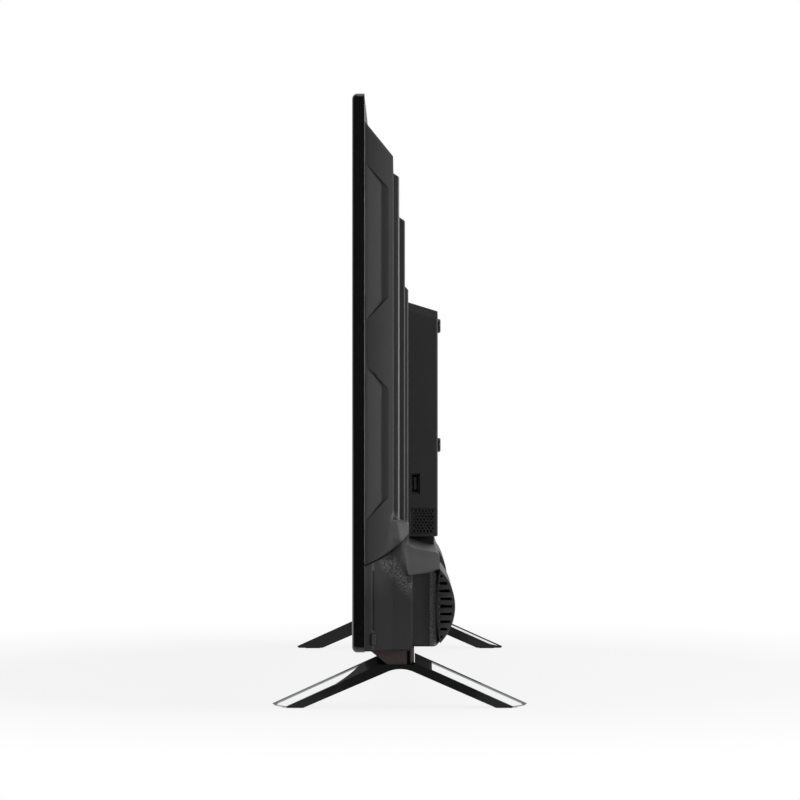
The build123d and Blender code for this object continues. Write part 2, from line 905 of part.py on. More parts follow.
def front_bezel():
    """The front frame: a rounded outer wall and a bevelled lip round the screen."""
    middle = cabinet_bottom + cabinet_height / 2
    outline = Pos(0, middle) * RectangleRounded(cabinet_width, cabinet_height, bezel_corner_radius)
    frame = extrude(facing_viewer(cover_seat) * outline, bezel_depth)
    rim = frame.faces().sort_by(Axis.Y)[0].edges()
    frame = fillet(rim, bezel_edge_radius)
    room_width = cabinet_width - 2 * bezel_wall
    room_height = cabinet_height - 2 * bezel_wall
    room = Pos(0, middle) * RectangleRounded(room_width, room_height, bezel_corner_radius - bezel_wall)
    frame -= extrude(facing_viewer(cover_seat) * room, bezel_depth - lip_thickness)
    low, high = window_edges()
    half = half_width - side_border
    frame -= block((-half, bezel_front - overrun, low), (half, cover_seat, high))
    frame -= tapered_slab(
        bezel_front,
        (half + window_bevel, low - window_bevel, high + window_bevel),
        bezel_front + window_bevel,
        (half, low, high),
    )
    return frame - sensor_window(seat_gap / 3)


def window_edges():
    """Lowest and highest edge of the screen window."""
    return cabinet_bottom + bottom_border, cabinet_top - side_border


def screen_sheet(front, back, lap):
    """One flat layer of the screen, lapping behind the lip on every side."""
    low, high = window_edges()
    half = half_width - side_border + lap
    return block((-half, front, low - lap), (half, back, high + lap))


def sensor_window(grow):
    """The dark window in the lower border that the remote sensor looks through."""
    middle = cabinet_bottom + bottom_border / 2
    outline = Pos(0, middle) * SlotOverall(sensor_window_width + 2 * grow, sensor_window_height + 2 * grow)
    return extrude(facing_viewer(bezel_front + lip_thickness + grow) * outline, lip_thickness + 2 * grow)


def sensor_board():
    """The small board behind the window, with the domed sensor on its front."""
    middle = cabinet_bottom + bottom_border / 2
    front = bezel_front + lip_thickness + sensor_radius + panel_gap
    high = window_edges()[0] - panel_lap - panel_gap
    board = block(
        (-sensor_board_width / 2, front, high - sensor_board_height),
        (sensor_board_width / 2, front + sensor_board_thickness, high),
    )
    return board + rear_rod(0, middle, sensor_radius, front - sensor_radius, front)


def pan_shape(inset):
    """The dished form of the chassis."""
    front_size = (pan_front_half_width, pan_front_low, pan_front_high)
    back_size = (pan_back_half_width, pan_back_low, pan_back_high)
    return tapered_slab(pan_front, shrink(front_size, inset), pan_back - inset, shrink(back_size, inset))


def backlight_chassis():
    """Pressed steel pan with its flange, pierced for the cover screws."""
    half = half_width - side_border + panel_lap
    high = window_edges()[1] + panel_lap
    pan = pan_shape(0) + block((-half, flange_front, pan_front_low - pan_flange), (half, pan_front, high))
    space = pan_shape(sheet_steel)
    mouth_size = shrink((pan_front_half_width, pan_front_low, pan_front_high), sheet_steel)
    space += tapered_slab(flange_front - sheet_steel, mouth_size, pan_front, mouth_size)
    pan -= space
    hole_radius = screw_radius + screw_clearance
    for x, z in cover_screw_places():
        pan -= rear_rod(x, z, hole_radius, pan_back - 2 * sheet_steel, pan_back)
    for x, z in low_screw_places():
        pan -= rear_rod(x, z, hole_radius, flange_front, pan_front)
    return pan


def reflector_sheet():
    """White sheet that lines the pan's floor, in front of the light bars' backs."""
    inset = sheet_steel + bar_thickness
    size = shrink((pan_back_half_width, pan_back_low, pan_back_high), inset)
    face = pan_back - sheet_steel
    half, low, high = size
    return block((-half, face - reflector_thickness, low), (half, face, high))


def bar_heights():
    """Heights of the light bars."""
    middle = (pan_back_low + pan_back_high) / 2
    return [middle + (row - (bar_count - 1) / 2) * bar_pitch for row in range(bar_count)]


def led_strips():
    """The light bars' narrow boards."""
    back = pan_back - sheet_steel - reflector_thickness
    front = back - bar_thickness
    half = bar_length / 2
    return [
        block((-half, front, z - bar_width / 2), (half, back, z + bar_width / 2)) for z in bar_heights()
    ]


def led_lenses():
    """Domed lenses over the diodes, each a dish-topped button."""
    base = pan_back - sheet_steel - reflector_thickness - bar_thickness
    rim = lens_height / 2
    dish = lens_height / 4
    section = make_face(
        Polyline(
            (0, 0),
            (lens_radius, 0),
            (lens_radius, rim),
            (lens_radius / 2, lens_height),
            (0, lens_height - dish),
            close=True,
        )
    )
    lens = revolve(Plane.XZ * section, Axis.Z)
    lens = Rot(90, 0, 0) * lens
    made = []
    for z in bar_heights():
        for column in range(lenses_per_bar):
            x = (column - (lenses_per_bar - 1) / 2) * lens_pitch
            made.append(Pos(x, base, z) * lens)
    return made


# Boards and sockets

def board_corners(left, right, low, high):
    """Screw places near a board's four corners."""
    margin = board_post_margin
    return [(x, z) for x in (left + margin, right - margin) for z in (low + margin, high - margin)]


def large_board_screw_places():
    """Screw places of the main board and the power board."""
    places = board_corners(main_board_left, main_board_right, main_board_low, main_board_high)
    return places + board_corners(-main_board_right, -main_board_left, power_board_low, main_board_high)


def timing_board_post_places():
    """Post places of the timing board."""
    return board_corners(-timing_half_width, timing_half_width, timing_low, timing_high)


def pierce_board(board):
    """Cut a large board's screw holes and its clearance round the standoffs."""
    for x, z in large_board_screw_places():
        board -= rear_rod(x, z, board_screw_radius + screw_clearance, pan_back, board_back)
    for x, z in mount_places():
        board -= rear_rod(x, z, board_standoff_hole_radius, pan_back, board_back)
    return board


def main_board():
    """The picture and sound board, with a leg that carries the side socket."""
    front = board_back - board_thickness
    board = block((main_board_left, front, main_board_low), (main_board_right, board_back, main_board_high))
    board += block((board_leg_left, front, board_leg_low), (board_leg_right, board_back, main_board_low))
    return pierce_board(board)


def power_board():
    """The mains and backlight supply board."""
    low = (-main_board_right, board_back - board_thickness, power_board_low)
    return pierce_board(block(low, (-main_board_left, board_back, main_board_high)))


def timing_board():
    """The screen's timing board, low on the chassis."""
    front = pan_back + timing_lift
    back = front + board_thickness
    return block((-timing_half_width, front, timing_low), (timing_half_width, back, timing_high))


def display_cable():
    """Flat cable from the main board down to the timing board."""
    upper = board_back - board_thickness - ribbon_thickness / 2
    lower = pan_back + timing_lift + board_thickness + ribbon_thickness / 2
    path = Polyline(
        (upper, main_board_low + board_post_margin),
        (upper, main_board_low - board_post_margin),
        (lower, board_window_low - board_post_margin),
        (lower, timing_high - board_post_margin),
    )
    left = main_board_left + board_post_margin + board_post_radius
    return extrude(facing_side(left) * trace(path, ribbon_thickness), ribbon_width)


def board_posts():
    """Pressed posts that carry the boards on the chassis."""
    posts = []
    for x, z in large_board_screw_places():
        post = rear_rod(x, z, board_post_radius, pan_back, board_back - board_thickness)
        posts.append(post - rear_rod(x, z, board_screw_radius + screw_clearance, pan_back, board_back))
    for x, z in timing_board_post_places():
        posts.append(rear_rod(x, z, board_post_radius, pan_back, pan_back + timing_lift))
    return posts


def board_screws():
    """Pan-head screws that hold the two large boards."""
    screws = []
    for x, z in large_board_screw_places():
        screw = rear_rod(x, z, board_screw_head_radius, board_back, board_back + board_screw_head)
        screws.append(screw + rear_rod(x, z, board_screw_radius, pan_back + timing_lift, board_back))
    return screws


def on_board(x, z, width, height, thickness):
    """A rectangular part that lies on the back of a large board."""
    return block(
        (x - width / 2, board_back, z - height / 2), (x + width / 2, board_back + thickness, z + height / 2)
    )


def main_board_parts():
    """Tuner can, processor with its finned heat sink, memory and cable connector."""
    x, z, width, height, thickness = chip_place
    sink = on_board(x, z, width, height, thickness)
    for fin in range(sink_fin_count):
        left = x - width / 2 + fin * (width - sink_fin_thickness) / (sink_fin_count - 1)
        sink += block(
            (left, board_back + thickness, z - height / 2),
            (left + sink_fin_thickness, board_back + sink_height, z + height / 2),
        )
    tuner = on_board(main_board_right - tuner_place[0], *tuner_place[1:])
    return [sink, tuner, on_board(*memory_place), on_board(*connector_place)]


def power_board_parts():
    """Transformer, mains filter and can capacitors."""
    mains_filter = on_board(filter_place[0] - main_board_right, *filter_place[1:])
    parts = [on_board(*transformer_place), mains_filter]
    for x, z in capacitor_places:
        parts.append(rear_rod(x, z, capacitor_radius, board_back, board_back + capacitor_length))
    return parts


def flat_socket():
    """A screened flat socket with its tongue. Its mouth is up, its back lies on the board."""
    shell = block((-socket_width / 2, 0, -socket_length), (socket_width / 2, socket_height, 0))
    room = block(
        (-socket_width / 2 + socket_wall, socket_wall, -socket_length + socket_wall),
        (socket_width / 2 - socket_wall, socket_height - socket_wall, 0),
    )
    middle = socket_height / 2
    tongue = block(
        (-tongue_width / 2, middle - tongue_thickness / 2, -socket_length),
        (tongue_width / 2, middle + tongue_thickness / 2, -socket_wall),
    )
    return shell - room + tongue


def side_socket():
    """The socket in the side recess, with its mouth towards the right."""
    height = (side_port_low + side_port_high) / 2
    return Pos(box_half_width - cover_wall, board_back, height) * Rot(0, 90, 0) * flat_socket()


def down_socket_places():
    """Centres across of the sockets that face down into the rear pocket."""
    return [pocket_left + (pocket_right - pocket_left) * share for share in down_socket_shares]


def round_socket(x, radius, bore, length):
    """A round socket on the main board that faces down into the rear pocket."""
    middle = board_back + radius + socket_wall
    seat = pocket_high + cover_wall + io_plate_thickness + panel_gap
    nose = rod((x, middle, pocket_high), radius, length, (0, 0, 1))
    base = block((x - radius, board_back, seat), (x + radius, middle + radius, pocket_high + length))
    return nose + base - rod((x, middle, pocket_high), bore, length / 2, (0, 0, 1))


def down_sockets():
    """Two flat sockets, two sound jacks and the aerial socket over the rear pocket."""
    places = down_socket_places()
    made = [Pos(x, board_back, pocket_high) * Rot(0, 180, 0) * flat_socket() for x in places[:2]]
    made += [round_socket(x, jack_radius, jack_bore_radius, jack_length) for x in places[2:4]]
    made.append(round_socket(places[4], aerial_radius, aerial_bore_radius, jack_length))
    return made


def socket_plate():
    """Metal plate over the rear pocket, pierced for the sockets."""
    low = pocket_high + cover_wall
    plate = block((pocket_left, pocket_floor, low), (pocket_right, io_plate_back, low + io_plate_thickness))
    places = down_socket_places()
    grow = socket_clearance
    for x in places[:2]:
        plate -= block(
            (x - socket_width / 2 - grow, board_back, low),
            (x + socket_width / 2 + grow, board_back + socket_height + grow, low + io_plate_thickness),
        )
    for x, radius in zip(places[2:], (jack_radius, jack_radius, aerial_radius)):
        middle = board_back + radius + socket_wall
        plate -= rod((x, middle, low), radius + grow, io_plate_thickness, (0, 0, 1))
    return plate


def inlet_outline(grow):
    """The figure-of-eight mains inlet's outline, seen from the side, as one rounded slot."""
    long = 2 * (inlet_half_span + inlet_radius + grow)
    return Pos(inlet_middle, inlet_height) * Rot(0, 0, 90) * SlotOverall(long, 2 * (inlet_radius + grow))


def inlet_hole():
    """The opening in the left wall of the electronics cover that the inlet shows through."""
    outline = inlet_outline(inlet_wall + socket_clearance)
    depth = overrun + box_draft + cover_wall + panel_gap
    return extrude(facing_side(-box_half_width - overrun) * outline, depth)


def mains_inlet():
    """The mains inlet on the power board, with a rounded nose through the cover."""
    inner = box_half_width - box_draft - cover_wall
    half = inlet_half_span + inlet_radius + inlet_wall
    body = block(
        (-inner, board_back, inlet_height - half),
        (socket_length - inner, inlet_middle + inlet_radius + inlet_wall, inlet_height + half),
    )
    outer = box_half_width - box_draft
    body += extrude(facing_side(-outer) * inlet_outline(inlet_wall), outer - inner)
    return body - extrude(facing_side(-outer) * inlet_outline(0), inlet_depth)


def inlet_pins():
    """The two contact pins of the mains inlet."""
    end = -(box_half_width - box_draft) + inlet_depth
    pins = []
    for side in (-1, 1):
        start = (end, inlet_middle, inlet_height + side * inlet_half_span)
        pins.append(rod(start, inlet_pin_radius, inlet_pin_length, (-1, 0, 0)))
    return pins


# Speakers

def speaker_grille():
    """The slotted end grille of the right speaker bulge."""
    plate = extrude(facing_side(bulge_end) * grille_lens(0), grille_thickness)
    rim = plate.faces().sort_by(Axis.X)[-1].edges()
    plate = fillet(rim, grille_edge_radius)
    for index in range(slot_count):
        offset_up = (index - (slot_count - 1) / 2) * slot_pitch
        reach = bulge_centre_back + math.sqrt(bulge_radius ** 2 - offset_up ** 2) - grille_rim
        middle = bulge_middle + offset_up
        plate -= block(
            (bulge_end, housing_back, middle - slot_height / 2),
            (bulge_end + overrun, reach, middle + slot_height / 2),
        )
    return plate


def driver_middle():
    """Centre of the speaker driver, seen from the side."""
    return (speaker_box_front + speaker_box_back) / 2, (speaker_box_low + speaker_box_high) / 2


def speaker_box():
    """The closed sound box of the right speaker, open where the driver sits."""
    wall = speaker_box_wall
    low = (speaker_box_inner, speaker_box_front, speaker_box_low)
    high = (speaker_box_outer, speaker_box_back, speaker_box_high)
    box = block(low, high) - block([v + wall for v in low], [v - wall for v in high])
    hole = SlotOverall(driver_height - 4 * driver_surround, driver_width - 4 * driver_surround)
    hole = Pos(*driver_middle()) * Rot(0, 0, 90) * hole
    return box - extrude(facing_side(speaker_box_outer - 2 * wall) * hole, 3 * wall)


def speaker_driver():
    """A long oval driver: frame plate, cone, magnet."""
    face = facing_side(speaker_box_outer)
    centre = Pos(*driver_middle()) * Rot(0, 0, 90)
    frame = extrude(face * centre * SlotOverall(driver_height, driver_width), driver_plate)
    margin = 4 * driver_surround + 2 * screw_clearance
    mouth = centre * SlotOverall(driver_height - margin, driver_width - margin)
    neck = Pos(*driver_middle()) * Circle(magnet_radius - driver_surround)
    basket = extrude(facing_side(speaker_box_outer - driver_cone_depth) * neck, driver_cone_depth)
    basket += extrude(facing_side(speaker_box_outer - driver_surround) * mouth, driver_surround)
    dish_depth = driver_plate + driver_surround / 2
    outside = facing_side(speaker_box_outer + driver_plate)
    dish = extrude(outside * mouth, -dish_depth, taper=driver_dish_angle)
    middle = driver_middle()
    magnet_start = speaker_box_outer - driver_cone_depth - magnet_depth
    magnet = rod((magnet_start, *middle), magnet_radius, magnet_depth, (1, 0, 0))
    return frame + basket + magnet - dish


# Feet

def foot_screw_places():
    """Centres of the screws that go up through the feet."""
    return [
        (side * foot_middle, foot_screw_middle + end * foot_screw_half_spacing)
        for side in (-1, 1)
        for end in (-1, 1)
    ]


def foot_outline(drop):
    """Side outline of a foot, with its two sloping tops lowered by a drop."""
    front_slope = (foot_front_shoulder_height - foot_tip_height) / (foot_reach + foot_front_shoulder)
    back_slope = (foot_back_shoulder_height - foot_tip_height) / (foot_reach - foot_back_shoulder)
    tip_height = outer_tip_height if drop else foot_tip_height
    lowered = foot_tip_height - drop
    front_tip = -foot_reach + (tip_height - lowered) / front_slope
    back_tip = foot_reach - (tip_height - lowered) / back_slope
    arch_edge = arch_height - arch_drop
    arch_front = (arch_middle - arch_half_span, arch_edge)
    arch_back = (arch_middle + arch_half_span, arch_edge)
    front_toe = (front_tip + sole_tip_gap, sole_height)
    top = Polyline(
        front_toe,
        (front_tip, tip_height),
        (foot_front_shoulder, foot_front_shoulder_height - drop),
        (yoke_front, yoke_top),
        (foot_back_shoulder, yoke_top),
        (foot_back_shoulder, foot_back_shoulder_height - drop),
        (back_tip, tip_height),
        (back_tip - sole_tip_gap, sole_height),
        (sole_inner, sole_height),
        arch_back,
    )
    arch = ThreePointArc(arch_back, (arch_middle, arch_height), arch_front)
    sole = Polyline(arch_front, (-sole_inner, sole_height), front_toe)
    return make_face([top, arch, sole])


def foot_form():
    """The right foot's blade: tall along its inner side, its tops sloping down outwards."""
    inner = foot_middle - foot_width / 2
    tall_side = facing_side(inner) * foot_outline(0)
    low_side = facing_side(inner + foot_width) * foot_outline(facet_drop)
    return loft([tall_side, low_side], ruled=True)


def foot_trims():
    """The bright strips let into the right foot's sloping tops."""
    form = foot_form()
    skin = form - Pos(0, 0, -trim_thickness) * form
    inner = foot_middle - foot_width / 2
    left = inner + trim_edge_inner
    right = inner + foot_width - trim_edge_outer
    back = block((left, trim_back_start, 0), (right, trim_end, cabinet_bottom))
    taper_start = (left, -trim_front_start)
    taper_end = (right, -trim_front_start - trim_front_taper)
    bow = ((left + right) / 2 + trim_front_bow, -trim_front_start - trim_front_taper / 2)
    edges = Polyline(taper_end, (right, -trim_end), (left, -trim_end), taper_start)
    front = extrude(make_face([ThreePointArc(taper_start, bow, taper_end), edges]), cabinet_bottom)
    return [skin & front, skin & back]


def foot_body():
    """The right foot without its trims, pads and screw holes."""
    body = foot_form()
    for strip in foot_trims():
        body -= strip
    for pad in foot_pads():
        body -= pad
    for x, y in foot_screw_places():
        seat = arch_height + foot_screw_head + screw_clearance
        head_radius = foot_screw_head_radius + screw_clearance
        body -= rod((x, y, arch_height - overrun), head_radius, overrun + seat - arch_height, (0, 0, 1))
        body -= rod((x, y, arch_height), foot_screw_radius + screw_clearance, overrun, (0, 0, 1))
    return body


def foot_pads():
    """Rubber pads under the right foot's two soles."""
    inner = foot_middle - foot_width / 2 + pad_inset
    outer = inner + pad_width
    half = pad_length / 2
    middles = (-pad_middle, pad_middle)
    return [block((inner, middle - half, 0), (outer, middle + half, pad_thickness)) for middle in middles]


def foot_neck():
    """The wedge-shaped neck between the right foot and the cabinet."""
    outline = Polyline(
        (foot_neck_top_front, cabinet_bottom),
        (foot_neck_bottom_front, yoke_top),
        (foot_neck_back, yoke_top),
        (foot_neck_back, cabinet_bottom),
        close=True,
    )
    start = foot_middle - foot_neck_width / 2
    neck = extrude(facing_side(start) * make_face(outline), foot_neck_width)
    corners = neck.edges().filter_by(Axis.Z).sort_by(Axis.Y)[-2:]
    neck = fillet(corners, foot_neck_radius)
    height = cabinet_bottom - yoke_top
    slot_size = (foot_neck_slot_depth, foot_neck_slot_back - foot_neck_slot_front, height)
    for side in (-1, 1):
        x = foot_middle + side * (foot_neck_width - foot_neck_slot_depth) / 2
        y = (foot_neck_slot_front + foot_neck_slot_back) / 2
        neck -= Pos(x, y, (cabinet_bottom + yoke_top) / 2) * Box(*slot_size)
    for x, y in foot_screw_places():
        neck -= rod((x, y, yoke_top), foot_screw_radius + screw_clearance, height, (0, 0, 1))
    return neck


def foot_bracket():
    """Steel block inside the cabinet that the right foot's screws bite into."""
    low = cabinet_bottom + cover_wall
    middle = foot_middle
    left = middle - bracket_half_width
    right = middle + bracket_half_width
    bracket = block((left, bracket_front, low), (right, bracket_back, low + bracket_height))
    for x, y in foot_screw_places():
        bracket -= rod((x, y, low), foot_screw_radius + screw_clearance, bracket_height, (0, 0, 1))
    return bracket


def foot_screws():
    """The four screws that go up through the feet and necks into the brackets."""
    screws = []
    for x, y in foot_screw_places():
        seat = arch_height + foot_screw_head
        head = rod((x, y, arch_height), foot_screw_head_radius, foot_screw_head, (0, 0, 1))
        screws.append(head + rod((x, y, seat), foot_screw_radius, foot_screw_top - seat, (0, 0, 1)))
    return screws


# Push key

def power_key():
    """The push key: its face follows the side panel, and a collar keeps it in."""
    stem = extrude(facing_side(key_stem_end) * key_outline(0), tray_front_half_width - key_stem_end)
    front_size = (tray_front_half_width, cabinet_bottom, tray_front_top)
    back_size = (tray_back_half_width, cabinet_bottom, tray_back_top)
    stem &= Pos(key_proud, 0, 0) * tapered_slab(cover_seat, front_size, tray_back, back_size)
    collar = extrude(facing_side(key_stem_end) * key_outline(key_collar), key_collar_thickness)
    return stem + collar


def key_board():
    """The small board behind the key."""
    low = cabinet_bottom + cover_wall
    return block(
        (key_board_face - board_thickness, key_centre_depth - key_board_width / 2, low),
        (key_board_face, key_centre_depth + key_board_width / 2, low + key_board_height),
    )


def key_switch():
    """The snap switch that the key presses."""
    half = switch_size / 2
    body = block(
        (key_board_face, key_centre_depth - half, key_centre_height - half),
        (key_board_face + switch_height, key_centre_depth + half, key_centre_height + half),
    )
    reach = key_stem_end - key_travel - plunger_rest_gap - key_board_face
    start = (key_board_face, key_centre_depth, key_centre_height)
    return body + rod(start, plunger_radius, reach, (1, 0, 0))


# Cover screws

def pan_screw(x, z, seat, end):
    """A cover screw: its head sits on a seat, its shank runs forward to an end."""
    head = rear_rod(x, z, screw_head_radius, seat, seat + screw_head)
    return head + rear_rod(x, z, screw_radius, end, seat)


def cover_screws():
    """Screws of the upper and lower rear covers."""
    screws = []
    for x, z in cover_screw_places():
        screws.append(pan_screw(x, z, terrace_back - screw_well, pan_back - sheet_steel))
    for x, z in low_screw_places():
        screws.append(pan_screw(x, z, shoulder_back - screw_well, flange_front))
    return screws


def box_screws():
    """Screws of the electronics cover."""
    return [pan_screw(x, z, housing_back - screw_well, second_back) for x, z in box_screw_places()]


def save_all():
    """Build every piece and write its file."""
    upper, lower = back_shells()
    save("rear_cover", rear_cover(upper))
    save("lower_rear_cover", lower_rear_cover(lower))
    save("electronics_cover", electronics_cover())
    save("vent_patches", [vent_patch(1), vent_patch(-1)])
    save("mount_standoffs", mount_standoffs())
    save("front_bezel", front_bezel())
    save("screen_panel", screen_sheet(panel_front, film_front, panel_lap))
    save("optical_films", screen_sheet(film_front, diffuser_front, panel_lap / 2))
    save("diffuser_plate", screen_sheet(diffuser_front, flange_front, panel_lap / 2))
    save("backlight_chassis", backlight_chassis())
    save("reflector_sheet", reflector_sheet())
    save("led_strips", led_strips())
    save("led_lenses", led_lenses())
    save("sensor_window", sensor_window(0))
    save("sensor_board", sensor_board())
    save("main_board", main_board())
    save("main_board_parts", main_board_parts())
    save("power_board", power_board())
    save("power_board_parts", power_board_parts())
    save("timing_board", timing_board())
    save("display_cable", display_cable())
    save("board_posts", board_posts())
    save("board_screws", board_screws())
    save("side_socket", side_socket())
    save("down_sockets", down_sockets())
    save("socket_plate", socket_plate())
    save("mains_inlet", mains_inlet())
    save("inlet_pins", inlet_pins())
    for side, place in (("right", lambda shape: shape), ("left", mirrored)):
        save(f"speaker_grille_{side}", place(speaker_grille()))
        save(f"speaker_box_{side}", place(speaker_box()))
        save(f"speaker_driver_{side}", place(speaker_driver()))
        save(f"foot_{side}", place(foot_body()))
        save(f"foot_trims_{side}", [place(strip) for strip in foot_trims()])
        save(f"foot_neck_{side}", place(foot_neck()))
        save(f"foot_bracket_{side}", place(foot_bracket()))
        save(f"foot_pads_{side}", [place(pad) for pad in foot_pads()])
    save("foot_screws", foot_screws())
    save("power_key", power_key())
    save("key_board", key_board())
    save("key_switch", key_switch())
    save("cover_screws", cover_screws())
    save("box_screws", box_screws())


save_all()
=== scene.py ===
import json
import math

import bmesh
import bpy
from mathutils import Matrix


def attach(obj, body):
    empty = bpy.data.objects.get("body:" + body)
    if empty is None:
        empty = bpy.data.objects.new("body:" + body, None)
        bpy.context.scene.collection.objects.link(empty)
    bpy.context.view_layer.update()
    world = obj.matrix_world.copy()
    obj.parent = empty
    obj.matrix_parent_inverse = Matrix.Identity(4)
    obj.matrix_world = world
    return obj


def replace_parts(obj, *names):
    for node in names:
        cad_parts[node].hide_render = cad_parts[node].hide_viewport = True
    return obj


# Metres, in the frame of the construction: X across the screen, the screen faces -Y, Z is up.

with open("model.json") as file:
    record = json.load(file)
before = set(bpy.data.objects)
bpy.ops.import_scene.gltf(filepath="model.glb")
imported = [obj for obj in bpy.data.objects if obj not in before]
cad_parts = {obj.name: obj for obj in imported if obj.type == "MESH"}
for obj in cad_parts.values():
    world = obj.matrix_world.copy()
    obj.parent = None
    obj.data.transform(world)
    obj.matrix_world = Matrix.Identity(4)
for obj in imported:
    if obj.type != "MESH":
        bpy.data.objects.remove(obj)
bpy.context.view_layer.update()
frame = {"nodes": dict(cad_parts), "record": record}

# Camera, placed where the photographer stood: level, square to the right side of the set
camera_distance = 2.7
camera_height = 0.232
sensor_width = 36.0
lens_length = 139.23
shift_across = 0.0004
shift_up = 0.0104

# Cabinet sizes that the finishes refer to
cabinet_width = 0.716
cabinet_low = 0.0468
cabinet_high = 0.4708
screen_border = 0.0092
chin_height = 0.0226
panel_black_edge = 0.0035

# The marks below lie between two places, counted across from the middle of the set, in depth (Y) or in height
# (Z). A tone of 1 leaves a colour as it is. A shade or glow, painted into the colour, is added to that 1.

# The line where the rear covers part: the centre of its arc in depth and height, and its shadow's soft edge
part_line_centre = (-0.05704, 0.19322)
part_line_radius = 0.08655
part_line_edge = (0.0004, 0.0009)
# How dark the dust and painted shadow in the line are
part_line_tone = 0.03
part_line_top = (0.15, 0.151)

# Edges of the rear covers that are rounder than the plain ones: the shoulder and the band of the side wall
plain_edge_radius = 0.0005
shoulder_edge_across = (0.268, 0.285)
shoulder_edge_heights = (0.11, 0.148)
shoulder_edge_depths = (-0.018, -0.008)
shoulder_edge_radius = 0.0105
wall_edge_across = 0.336
wall_edge_low = 0.15
wall_edge_depths = (-0.0255, -0.0085)
wall_edge_radius = 0.0022
scoop_ends = ((0.146, 0.168), (0.239, 0.257), (0.299, 0.318), (0.399, 0.42))

# Upper rear cover
# Painted shade and light on the upper cover's side wall: darker at its front, lighter towards its back
side_wall_depths = (-0.024, -0.006)
side_wall_painted_shading = (0.8, 1.25)
# Painted shade along the side wall's front seam, next to the bezel
front_seam_shade_depths = (-0.0275, -0.0235)
front_seam_shade = 0.4
# Painted highlight along the rim of the first terrace
first_rim_across = (0.2988, 0.3006)
first_rim_depths = (-0.0016, -0.0006)
first_rim_glow = 2.8
# Painted shade on the inner terraces
terrace_across = (0.255, 0.29)
terrace_shade = 0.75
# Painted light on the up- and down-facing end walls of the scoops in the side wall
scoop_across = 0.333
scoop_heights = (0.15, 0.452)
scoop_end_glow = 7.0
# Painted highlight along the upper cover's edges
upper_cover_edge_highlight = 0.15

# Lower rear cover
# Painted shade on the lower cover's side panel, and darker still along its sole
side_panel_back = (-0.0052, -0.0046)
side_panel_shade = 0.64
sole_heights = (0.047, 0.0485)
sole_shade = 0.25
# Painted light along the top of the side panel
panel_top_heights = (0.085, 0.105)
panel_top_depths = (-0.014, -0.006)
panel_top_glow = 0.5
# Painted shade on the flank under the shoulder
flank_low_depths = (0.0093, 0.0091)
flank_low_heights = (0.1042, 0.0985)
flank_high = 0.1275
flank_front = (0.001, 0.006)
flank_depths = (0.008, 0.028)
flank_shades = (-0.72, -0.5)
# A speckled painted highlight along the crease under the shoulder
crease_slope = (0.742, 0.671)
crease_offset = 0.0697
crease_width = (-0.005, 0.0055)
crease_depths = (-0.017, 0.0092)
crease_glow = 2.4
speck_size = 0.001
# Painted light, speckled, on the corner of the speaker housing
corner_across = (0.284, 0.2945)
corner_depths = (0.0235, 0.0284)
corner_top = (0.104, 0.106)
corner_glow = 2.4
corner_speck_glow = 2.5
# Painted light in the side recess
recess_depths = (0.0093, 0.0235)
recess_top = 0.104
recess_glow = 0.6
# Painted light in the groove of the side panel
groove_across = 0.34
groove_depths = (-0.0212, -0.0195)
groove_glow = 1.2
# Painted highlight along the lower cover's edges
lower_cover_edge_highlight = 0.3

# Electronics cover: painted shade on its sloping top facets, and a painted highlight along its edges
box_top_low = 0.28
box_top_slope = 0.3
box_top_shade = -0.45
box_edge_highlight = 0.45

# Feet: painted shade in the slot in the neck and behind it, the yoke, and painted dark reflections along the
# trims' inner edges and at their tips
neck_slot_depths = (0.0054, 0.0082)
neck_slot_shade = -0.9
neck_back_depths = (0.0081, 0.0085)
neck_back_shade = -0.68
yoke_centre = 0.0081
yoke_reach = (0.05, 0.06)
yoke_roughness = 0.95
trim_line_across = (0.2915, 0.2954)
trim_tip_heights = (0.0017, 0.002)

# Speaker grille: a lens between two arcs, at the end of each speaker bulge
grille_face = 0.297
grille_thickness = 0.0016
grille_chord = 0.0313
grille_sagitta = 0.0118
grille_front_sagitta = 0.0029
grille_low = 0.0495
grille_high = 0.107
grille_rim = 0.0024
grille_edge = 0.00025
slot_count = 9
slot_pitch = 0.0059
slot_height = 0.002

# Plated strips on the inner side of the feet's back legs, thinner towards the tip
foot_inner_face = 0.289
strip_start = (0.0245, 0.0355)
strip_end = (0.0945, 0.0041)
strip_drop = 0.0009
strip_depth = 0.0031
strip_proud = 0.0003
strip_taper = 8.0
strip_tip_share = 0.15
strip_steps = 24

# Side opening of the electronics cover: its front, back, low and high edges, and the socket in it
side_opening = (0.0081, 0.0164, 0.1622, 0.1784)
socket_gap = (0.0012, 0.0008)
side_socket_face = 0.1584
foam_depth = 0.002

# Screws: the mouths of their wells, or the ends of the feet's screw heads, and the sizes of head and shank
cover_screw_places = [(side * 0.284, -0.0003, z) for z in (0.158, 0.262, 0.364) for side in (-1, 1)]
cover_screw_places += [(side * 0.096, -0.0003, 0.397) for side in (-1, 1)]
cover_screw_places += [(side * 0.318, 0.0095, 0.058) for side in (-1, 1)]
box_screw_places = [(side * 0.1505, 0.0313, z) for z in (0.222, 0.29) for side in (-1, 1)]
foot_screw_places = [(side * 0.3, 0.001 + end * 0.0054, 0.0306) for side in (-1, 1) for end in (-1, 1)]
screw_well = 0.002
screw_edge = 0.0001
cover_screw = {"Head radius": 0.003, "Head height": 0.0018, "Shank radius": 0.0014, "Shank length": 0.0075}
box_screw = cover_screw | {"Shank length": 0.02}
foot_screw = {"Head radius": 0.0034, "Head height": 0.0017, "Shank radius": 0.0019, "Shank length": 0.0255}

# Wall-mount standoffs
standoff_places = [(side * 0.1, 0.0343, 0.2512 + up * 0.05) for side in (-1, 1) for up in (-1, 1)]
thread_start = 0.0006
thread_sizes = {"Bore radius": 0.00197, "Depth": 0.0105, "Wire": 0.00028, "Pitch": 0.0007}

